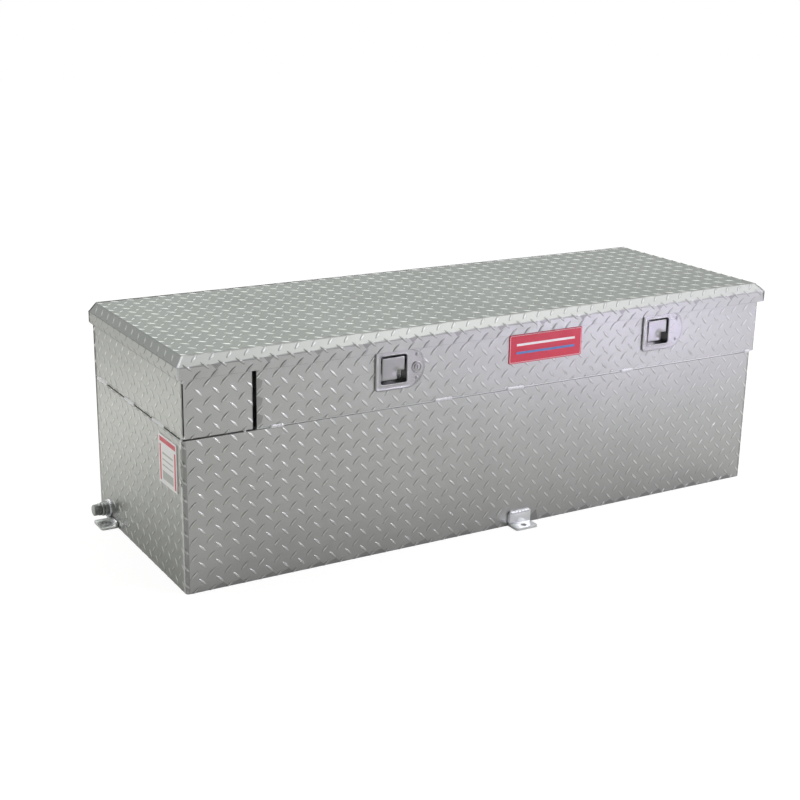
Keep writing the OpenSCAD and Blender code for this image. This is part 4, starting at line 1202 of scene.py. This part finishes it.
def placed(tree, made, **values):
    """A node group set into a material, with its own values."""
    holder = tree.nodes.new("ShaderNodeGroup")
    holder.node_tree = made
    for name, value in values.items():
        holder.inputs[name].default_value = value
    return holder


def base_material(name, metallic, roughness):
    """A new material with a Principled shader, its tree and the shader."""
    material = bpy.data.materials.new(name)
    material.use_nodes = True
    tree = material.node_tree
    shader = tree.nodes["Principled BSDF"]
    shader.inputs["Metallic"].default_value = metallic
    shader.inputs["Roughness"].default_value = roughness
    return material, tree, shader


def toned(tree, shader, colour_value, tones):
    """Base colour times one or more tone values."""
    last = (*colour_value, 1)
    for tone in tones:
        last = mix_colours(tree, "MULTIPLY", last, tone)
    tree.links.new(last, shader.inputs["Base Color"])


def rough_from(tree, shader, middle, sources):
    """Roughness about a middle value, moved by one or more (socket, amount)."""
    last = middle
    for socket, amount in sources:
        last = maths(tree, "MULTIPLY_ADD", socket, amount, last)
    tree.links.new(last, shader.inputs["Roughness"])


def bumped(tree, shader, height, strength, distance):
    bump = node(tree, "ShaderNodeBump", Height=height, Strength=strength, Distance=distance)
    tree.links.new(bump.outputs[0], shader.inputs["Normal"])


def alloy_finish(name, lay, plain, wear_and_sheen):
    """Mill-finish alloy sheet. Where it is tread plate, lug tops are lightened partly as rubbing and partly as
    painted highlight, and lug feet and seam edges carry painted shade.
    """
    finish = bpy.context.scene.tool_box_finish
    rough = 0.36
    material, tree, shader = base_material(name, 1.0, rough)
    grain = placed(tree, rolled_grain(), Lay=lay, Lines=0.16, Clouds=0.20)
    specks = placed(tree, fine_specks(), Scale=420.0)
    tones = [grain.outputs["Tone"]]
    roughs = [(grain.outputs["Rough"], 0.35), (specks.outputs["Mask"], 0.06)]
    if not plain:
        mask = node(tree, "ShaderNodeAttribute", attribute_name="lug")
        # lug tops lightened as rubbing and painted highlight; lug feet and the seam edge darkened as painted shade
        lug_light_and_wear = placed(tree, lug_wear_sheen_and_shade(), Wear=wear_and_sheen, Grime=0.30)
        tree.links.new(mask.outputs["Fac"], lug_light_and_wear.inputs["Lug"])
        tones.append(lug_light_and_wear.outputs["Tone"])
        roughs.append((lug_light_and_wear.outputs["Rough"], -0.22))
    toned(tree, shader, finish.alloy_plain if plain else finish.alloy, tones)
    rough_from(tree, shader, rough, roughs)
    bumped(tree, shader, specks.outputs["Height"], 0.25, 0.02 * MM)
    return material


def metal_finish(name, colour_name, roughness, lay, lines, bump):
    """A brushed or plated metal part."""
    finish = bpy.context.scene.tool_box_finish
    material, tree, shader = base_material(name, 1.0, roughness)
    grain = placed(tree, rolled_grain(), Lay=lay, Lines=lines, Clouds=0.14)
    toned(tree, shader, getattr(finish, colour_name), [grain.outputs["Tone"]])
    rough_from(tree, shader, roughness, [(grain.outputs["Rough"], 0.5)])
    bumped(tree, shader, grain.outputs["Height"], bump, 0.02 * MM)
    return material


def soft_finish(name, colour_name, roughness, scale, bump, dust):
    """Rubber, moulded plastic, satin paint or vinyl with fine texture and a little dust."""
    finish = bpy.context.scene.tool_box_finish
    material, tree, shader = base_material(name, 0.0, roughness)
    specks = placed(tree, fine_specks(), Scale=scale)
    tone = node(tree, "ShaderNodeMapRange", specks.outputs["Mask"], To_Min=1.0, To_Max=1.0 + dust)
    toned(tree, shader, getattr(finish, colour_name), [tone.outputs[0]])
    rough_from(tree, shader, roughness, [(specks.outputs["Mask"], 0.12)])
    bumped(tree, shader, specks.outputs["Height"], bump, 0.1 * MM)
    return material


VINYL = (0.34, 120.0, 0.06, 0.10)
ALONG_X, UPRIGHT = (9.0, 900.0, 900.0), (900.0, 9.0, 900.0)     # the way the rolls' lines run, as noise scales
FINISHES = {
    # name: maker, then lay, plain, and how strongly lug tops are lightened, by rubbing and as painted highlight
    "tread_alloy": (alloy_finish, ALONG_X, False, 0.5),
    "tread_alloy_ends": (alloy_finish, UPRIGHT, False, 0.5),
    # the lid's lug tops are lightened more than twice as much as elsewhere: the extra is painted highlight
    "tread_alloy_lid": (alloy_finish, ALONG_X, False, 1.1),
    "plain_alloy": (alloy_finish, ALONG_X, True, 0.5),
    # name: maker, then colour, roughness, lay, lines, bump
    "stainless_brushed": (metal_finish, "stainless", 0.28, (60.0, 1400.0, 1400.0), 0.10, 0.06),
    "stainless_paddle": (metal_finish, "paddle", 0.30, (1400.0, 1400.0, 60.0), 0.12, 0.06),
    "zinc_plate": (metal_finish, "zinc", 0.38, (300.0, 300.0, 300.0), 0.30, 0.2),
    "weld_metal": (metal_finish, "weld", 0.30, (500.0, 500.0, 500.0), 0.25, 0.2),
    "chromed_rod": (metal_finish, "chrome", 0.10, (900.0, 900.0, 40.0), 0.05, 0.03),
    "brass_turned": (metal_finish, "brass", 0.30, (400.0, 400.0, 1500.0), 0.20, 0.2),
    # name: maker, then colour, roughness, grain, bump, dust
    "rubber_black": (soft_finish, "rubber", 0.72, 700.0, 0.5, 0.8),
    "plastic_black": (soft_finish, "plastic", 0.45, 1100.0, 0.3, 0.5),
    "strut_black_paint": (soft_finish, "paint", 0.28, 300.0, 0.08, 0.3),
    "vinyl_red": (soft_finish, "red", *VINYL),
    "vinyl_red_edge": (soft_finish, "red_dark", *VINYL),
    "vinyl_pale": (soft_finish, "pale", *VINYL),
    "vinyl_blue": (soft_finish, "blue", *VINYL),
    "vinyl_label": (soft_finish, "pale", *VINYL),
    "vinyl_label_red": (soft_finish, "red", *VINYL),
    "vinyl_label_grey": (soft_finish, "alloy", *VINYL),
}


def finish_named(name):
    """The material of this name, made when it is first asked for."""
    make, *numbers = FINISHES[name]
    return bpy.data.materials.get(name) or make(name, *numbers)


SLOT_FINISH = {
    "tread_plate": "plain_alloy",
    "plain_alloy": "plain_alloy",
    "weld": "weld_metal",
    "stainless": "stainless_brushed",
    "zinc": "zinc_plate",
    "chrome_rod": "chromed_rod",
    "brass": "brass_turned",
    "strut_paint": "strut_black_paint",
    "rubber": "rubber_black",
    "cap_plastic": "plastic_black",
    "badge_red": "vinyl_red",
    "label_white": "vinyl_label",
}


def finish_cad_nodes(context):
    """Gives every CAD piece that still shows its finish, welded faces and softened edges."""
    slots = {part["node"]: part["material_slot"] for part in frame["record"]["subparts"]}
    for name, piece in frame["nodes"].items():
        slot = slots[name]
        piece.data.materials.clear()
        piece.data.materials.append(finish_named(SLOT_FINISH[slot]))
        if piece.hide_render:
            continue
        joined = piece.modifiers.new("joined", "WELD")
        joined.merge_threshold = 0.01 * MM       # the CAD faces meet to within this
        eased = piece.modifiers.new("eased", "BEVEL")
        eased.width = 0.25 * MM
        eased.segments = 2
        eased.limit_method = "ANGLE"
        eased.angle_limit = math.radians(40)
        eased.use_clamp_overlap = True
        for face in piece.data.polygons:
            face.use_smooth = True
        shade = piece.modifiers.new("shade", "EDGE_SPLIT")
        shade.split_angle = math.radians(35)


# --- stage ----------------------------------------------------------------------------------------
def stage_floor(stage):
    """A plain pale floor that keeps the object's shadow."""
    mesh = bpy.data.meshes.new("floor")
    size = 12.0
    mesh.from_pydata([(-size, -size, 0), (size, -size, 0), (size, size, 0), (-size, size, 0)], [], [(0, 1, 2, 3)])
    floor = bpy.data.objects.new("floor", mesh)
    floor.location.z = -0.2 * MM
    bpy.context.scene.collection.objects.link(floor)
    material = bpy.data.materials.new("floor_paper")
    material.use_nodes = True
    tree = material.node_tree
    tree.nodes.clear()
    paper = node(tree, "ShaderNodeBsdfDiffuse", (*stage.floor_tone, 1))
    glow = node(tree, "ShaderNodeEmission", (1, 1, 1, 1), stage.floor_glow)
    camera_ray = node(tree, "ShaderNodeLightPath").outputs["Is Camera Ray"]
    share = maths(tree, "MULTIPLY", camera_ray, stage.floor_white)
    mixed = node(tree, "ShaderNodeMixShader", share, paper.outputs[0], glow.outputs[0])
    node(tree, "ShaderNodeOutputMaterial", mixed.outputs[0])
    mesh.materials.append(material)


def stage_world():
    """White where the camera looks, and a studio with one darker side for the light and the gloss."""
    world = bpy.data.worlds.new("studio")
    bpy.context.scene.world = world
    world.use_nodes = True
    tree = world.node_tree
    tree.nodes.clear()
    camera_ray = node(tree, "ShaderNodeLightPath").outputs["Is Camera Ray"]
    spot = node(tree, "ShaderNodeTexCoord").outputs["Generated"]

    def ramp(value, *stops):
        made = node(tree, "ShaderNodeValToRGB", value)
        marks = made.color_ramp.elements
        while len(marks) < len(stops):
            marks.new(0.5)
        for mark, (at, tone) in zip(marks, stops):
            mark.position = at
            mark.color = (*tone, 1)
        return made.outputs[0]

    def towards(*direction):
        return node(tree, "ShaderNodeVectorMath", spot, Vector(direction).normalized(),
                    operation="DOT_PRODUCT").outputs["Value"]

    up = node(tree, "ShaderNodeSeparateXYZ", spot).outputs["Z"]
    sky = ramp(up, (0.0, (0.37, 0.385, 0.375)), (0.32, (0.40, 0.42, 0.405)), (0.58, (0.95, 0.98, 0.95)),
               (0.9, (1.0, 1.0, 1.0)))
    shade = ramp(towards(-0.35, -0.80, 0.48), (0.35, (1, 1, 1)), (0.88, (0.20, 0.21, 0.21)))
    front = ramp(towards(0.56, -0.30, 0.77), (0.80, (0, 0, 0)), (0.98, (0.34, 0.34, 0.36)))
    back = ramp(towards(0.15, 0.50, 0.85), (0.70, (0, 0, 0)), (0.96, (0.62, 0.66, 0.62)))
    left = ramp(towards(-0.80, 0.60, 0.08), (0.88, (0, 0, 0)), (0.98, (1.0, 1.0, 0.98)))
    lit = mix_colours(tree, "MULTIPLY", sky, shade)
    for glow in (front, back, left):
        lit = mix_colours(tree, "ADD", lit, glow)
    white = node(tree, "ShaderNodeBackground", (1, 1, 1, 1), 1.0)
    studio = node(tree, "ShaderNodeBackground", lit, 1.0)
    mixed = node(tree, "ShaderNodeMixShader", camera_ray, studio.outputs[0], white.outputs[0])
    node(tree, "ShaderNodeOutputWorld", mixed.outputs[0])


def stage_lamp(name, at, aim, size, watts, tint, spread=180):
    lamp = bpy.data.lights.new(name, "AREA")
    lamp.shape = "RECTANGLE"
    lamp.size, lamp.size_y = size
    lamp.energy = watts
    lamp.color = tint
    lamp.spread = math.radians(spread)
    holder = bpy.data.objects.new(name, lamp)
    holder.location = at
    holder.rotation_euler = (Vector(aim) - Vector(at)).to_track_quat("-Z", "Y").to_euler()
    bpy.context.scene.collection.objects.link(holder)


def stage_camera(stage):
    """The photograph's camera."""
    lens = bpy.data.cameras.new("camera")
    lens.sensor_fit = "HORIZONTAL"
    lens.sensor_width = 36.0
    lens.lens = stage.lens
    lens.clip_end = 100
    camera = bpy.data.objects.new("camera", lens)
    eye, aim = Vector(stage.eye), Vector(stage.aim)
    turn = (aim - eye).to_track_quat("-Z", "Y").to_matrix().to_4x4()
    camera.matrix_world = Matrix.Translation(eye) @ turn @ Matrix.Rotation(stage.roll, 4, "Z")
    bpy.context.scene.collection.objects.link(camera)
    bpy.context.scene.camera = camera


# --- operators ------------------------------------------------------------------------------------
class TOOLBOX_OT_tank(bpy.types.Operator):
    """Tread-plate sheets of the tank"""
    bl_idname = "tool_box.tank"
    bl_label = "Tank sheets"

    def execute(self, context):
        build_tank(context)
        return {"FINISHED"}


class TOOLBOX_OT_upper_box(bpy.types.Operator):
    """Pump-bay panels and the tool tub's walls"""
    bl_idname = "tool_box.upper_box"
    bl_label = "Upper box sheets"

    def execute(self, context):
        build_upper_box(context)
        return {"FINISHED"}


class TOOLBOX_OT_lid(bpy.types.Operator):
    """The folded lid and its rear sheet"""
    bl_idname = "tool_box.lid"
    bl_label = "Lid"

    def execute(self, context):
        build_lid(context)
        return {"FINISHED"}


class TOOLBOX_OT_welds(bpy.types.Operator):
    """Stitch welds, corner welds and fillets"""
    bl_idname = "tool_box.welds"
    bl_label = "Welds"

    def execute(self, context):
        build_welds(context)
        return {"FINISHED"}


class TOOLBOX_OT_latches(bpy.types.Operator):
    """Two paddle latches, their rivets and the key lock"""
    bl_idname = "tool_box.latches"
    bl_label = "Latches"

    def execute(self, context):
        build_latches(context)
        return {"FINISHED"}


class TOOLBOX_OT_fittings(bpy.types.Operator):
    """Outlet and filler fittings"""
    bl_idname = "tool_box.fittings"
    bl_label = "Fittings"

    def execute(self, context):
        build_fittings(context)
        return {"FINISHED"}


class TOOLBOX_OT_plates(bpy.types.Operator):
    """Red plate and pale label, without words"""
    bl_idname = "tool_box.plates"
    bl_label = "Plates"

    def execute(self, context):
        build_plates(context)
        return {"FINISHED"}


class TOOLBOX_OT_carried(bpy.types.Operator):
    """Finishes of the CAD pieces that show as they are"""
    bl_idname = "tool_box.carried"
    bl_label = "Carried-over pieces"

    def execute(self, context):
        finish_cad_nodes(context)
        return {"FINISHED"}


class TOOLBOX_OT_stage(bpy.types.Operator):
    """Floor, studio light and camera"""
    bl_idname = "tool_box.stage"
    bl_label = "Stage"

    def execute(self, context):
        stage = context.scene.tool_box_stage
        stage_floor(stage)
        stage_world()
        stage_lamp("key", (3.4, -2.4, 2.1), (0.2, 0.0, 0.3), (2.2, 1.6), stage.key_watts, (0.93, 0.90, 1.0))
        stage_lamp("top", (1.6, -1.4, 3.4), (0.0, 0.0, 0.3), (3.6, 1.2), stage.top_watts, (0.98, 1.0, 0.97))
        stage_lamp("pool", (1.75, -2.2, 0.9), (1.55, -2.0, 0.0), (0.5, 0.5), stage.pool_watts, (0.72, 0.65, 1.0), 75)
        stage_lamp("flash", (1.6, -3.1, 1.0), (0.7, -0.26, 0.3), (0.45, 0.35), stage.flash_watts, (0.88, 0.84, 1.0))
        stage_lamp("fill", (-1.6, 1.5, 1.3), (-1.3, 0.9, 0.0), (0.8, 0.8), stage.fill_watts, (1.0, 0.99, 0.99), 55)
        stage_camera(stage)
        context.scene.view_settings.view_transform = "Standard"
        return {"FINISHED"}


STEPS = (TOOLBOX_OT_tank, TOOLBOX_OT_upper_box, TOOLBOX_OT_lid, TOOLBOX_OT_welds, TOOLBOX_OT_latches,
         TOOLBOX_OT_fittings, TOOLBOX_OT_plates, TOOLBOX_OT_carried, TOOLBOX_OT_stage)
SETTINGS = {"tool_box_tread": TreadSettings, "tool_box_latch": LatchSettings, "tool_box_finish": FinishSettings,
            "tool_box_stage": StageSettings}


class TOOLBOX_PT_panel(bpy.types.Panel):
    """Steps and sizes of the tool box"""
    bl_idname = "TOOLBOX_PT_panel"
    bl_label = "Tool box"
    bl_space_type = "VIEW_3D"
    bl_region_type = "UI"
    bl_category = "Tool box"

    def draw(self, context):
        for step in STEPS:
            self.layout.operator(step.bl_idname)
        for name, settings in SETTINGS.items():
            column = self.layout.box().column()
            for field in settings.__annotations__:
                column.prop(getattr(context.scene, name), field)


def register():
    for settings in SETTINGS.values():
        bpy.utils.register_class(settings)
    for step in STEPS:
        bpy.utils.register_class(step)
    bpy.utils.register_class(TOOLBOX_PT_panel)
    for name, settings in SETTINGS.items():
        setattr(bpy.types.Scene, name, PointerProperty(type=settings))


def unregister():
    for name in SETTINGS:
        delattr(bpy.types.Scene, name)
    for item in (TOOLBOX_PT_panel, *STEPS, *SETTINGS.values()):
        bpy.utils.unregister_class(item)


def main():
    register()
    for step in STEPS:
        space, name = step.bl_idname.split(".")
        getattr(getattr(bpy.ops, space), name)()
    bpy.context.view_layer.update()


if __name__ == "__main__":
    main()
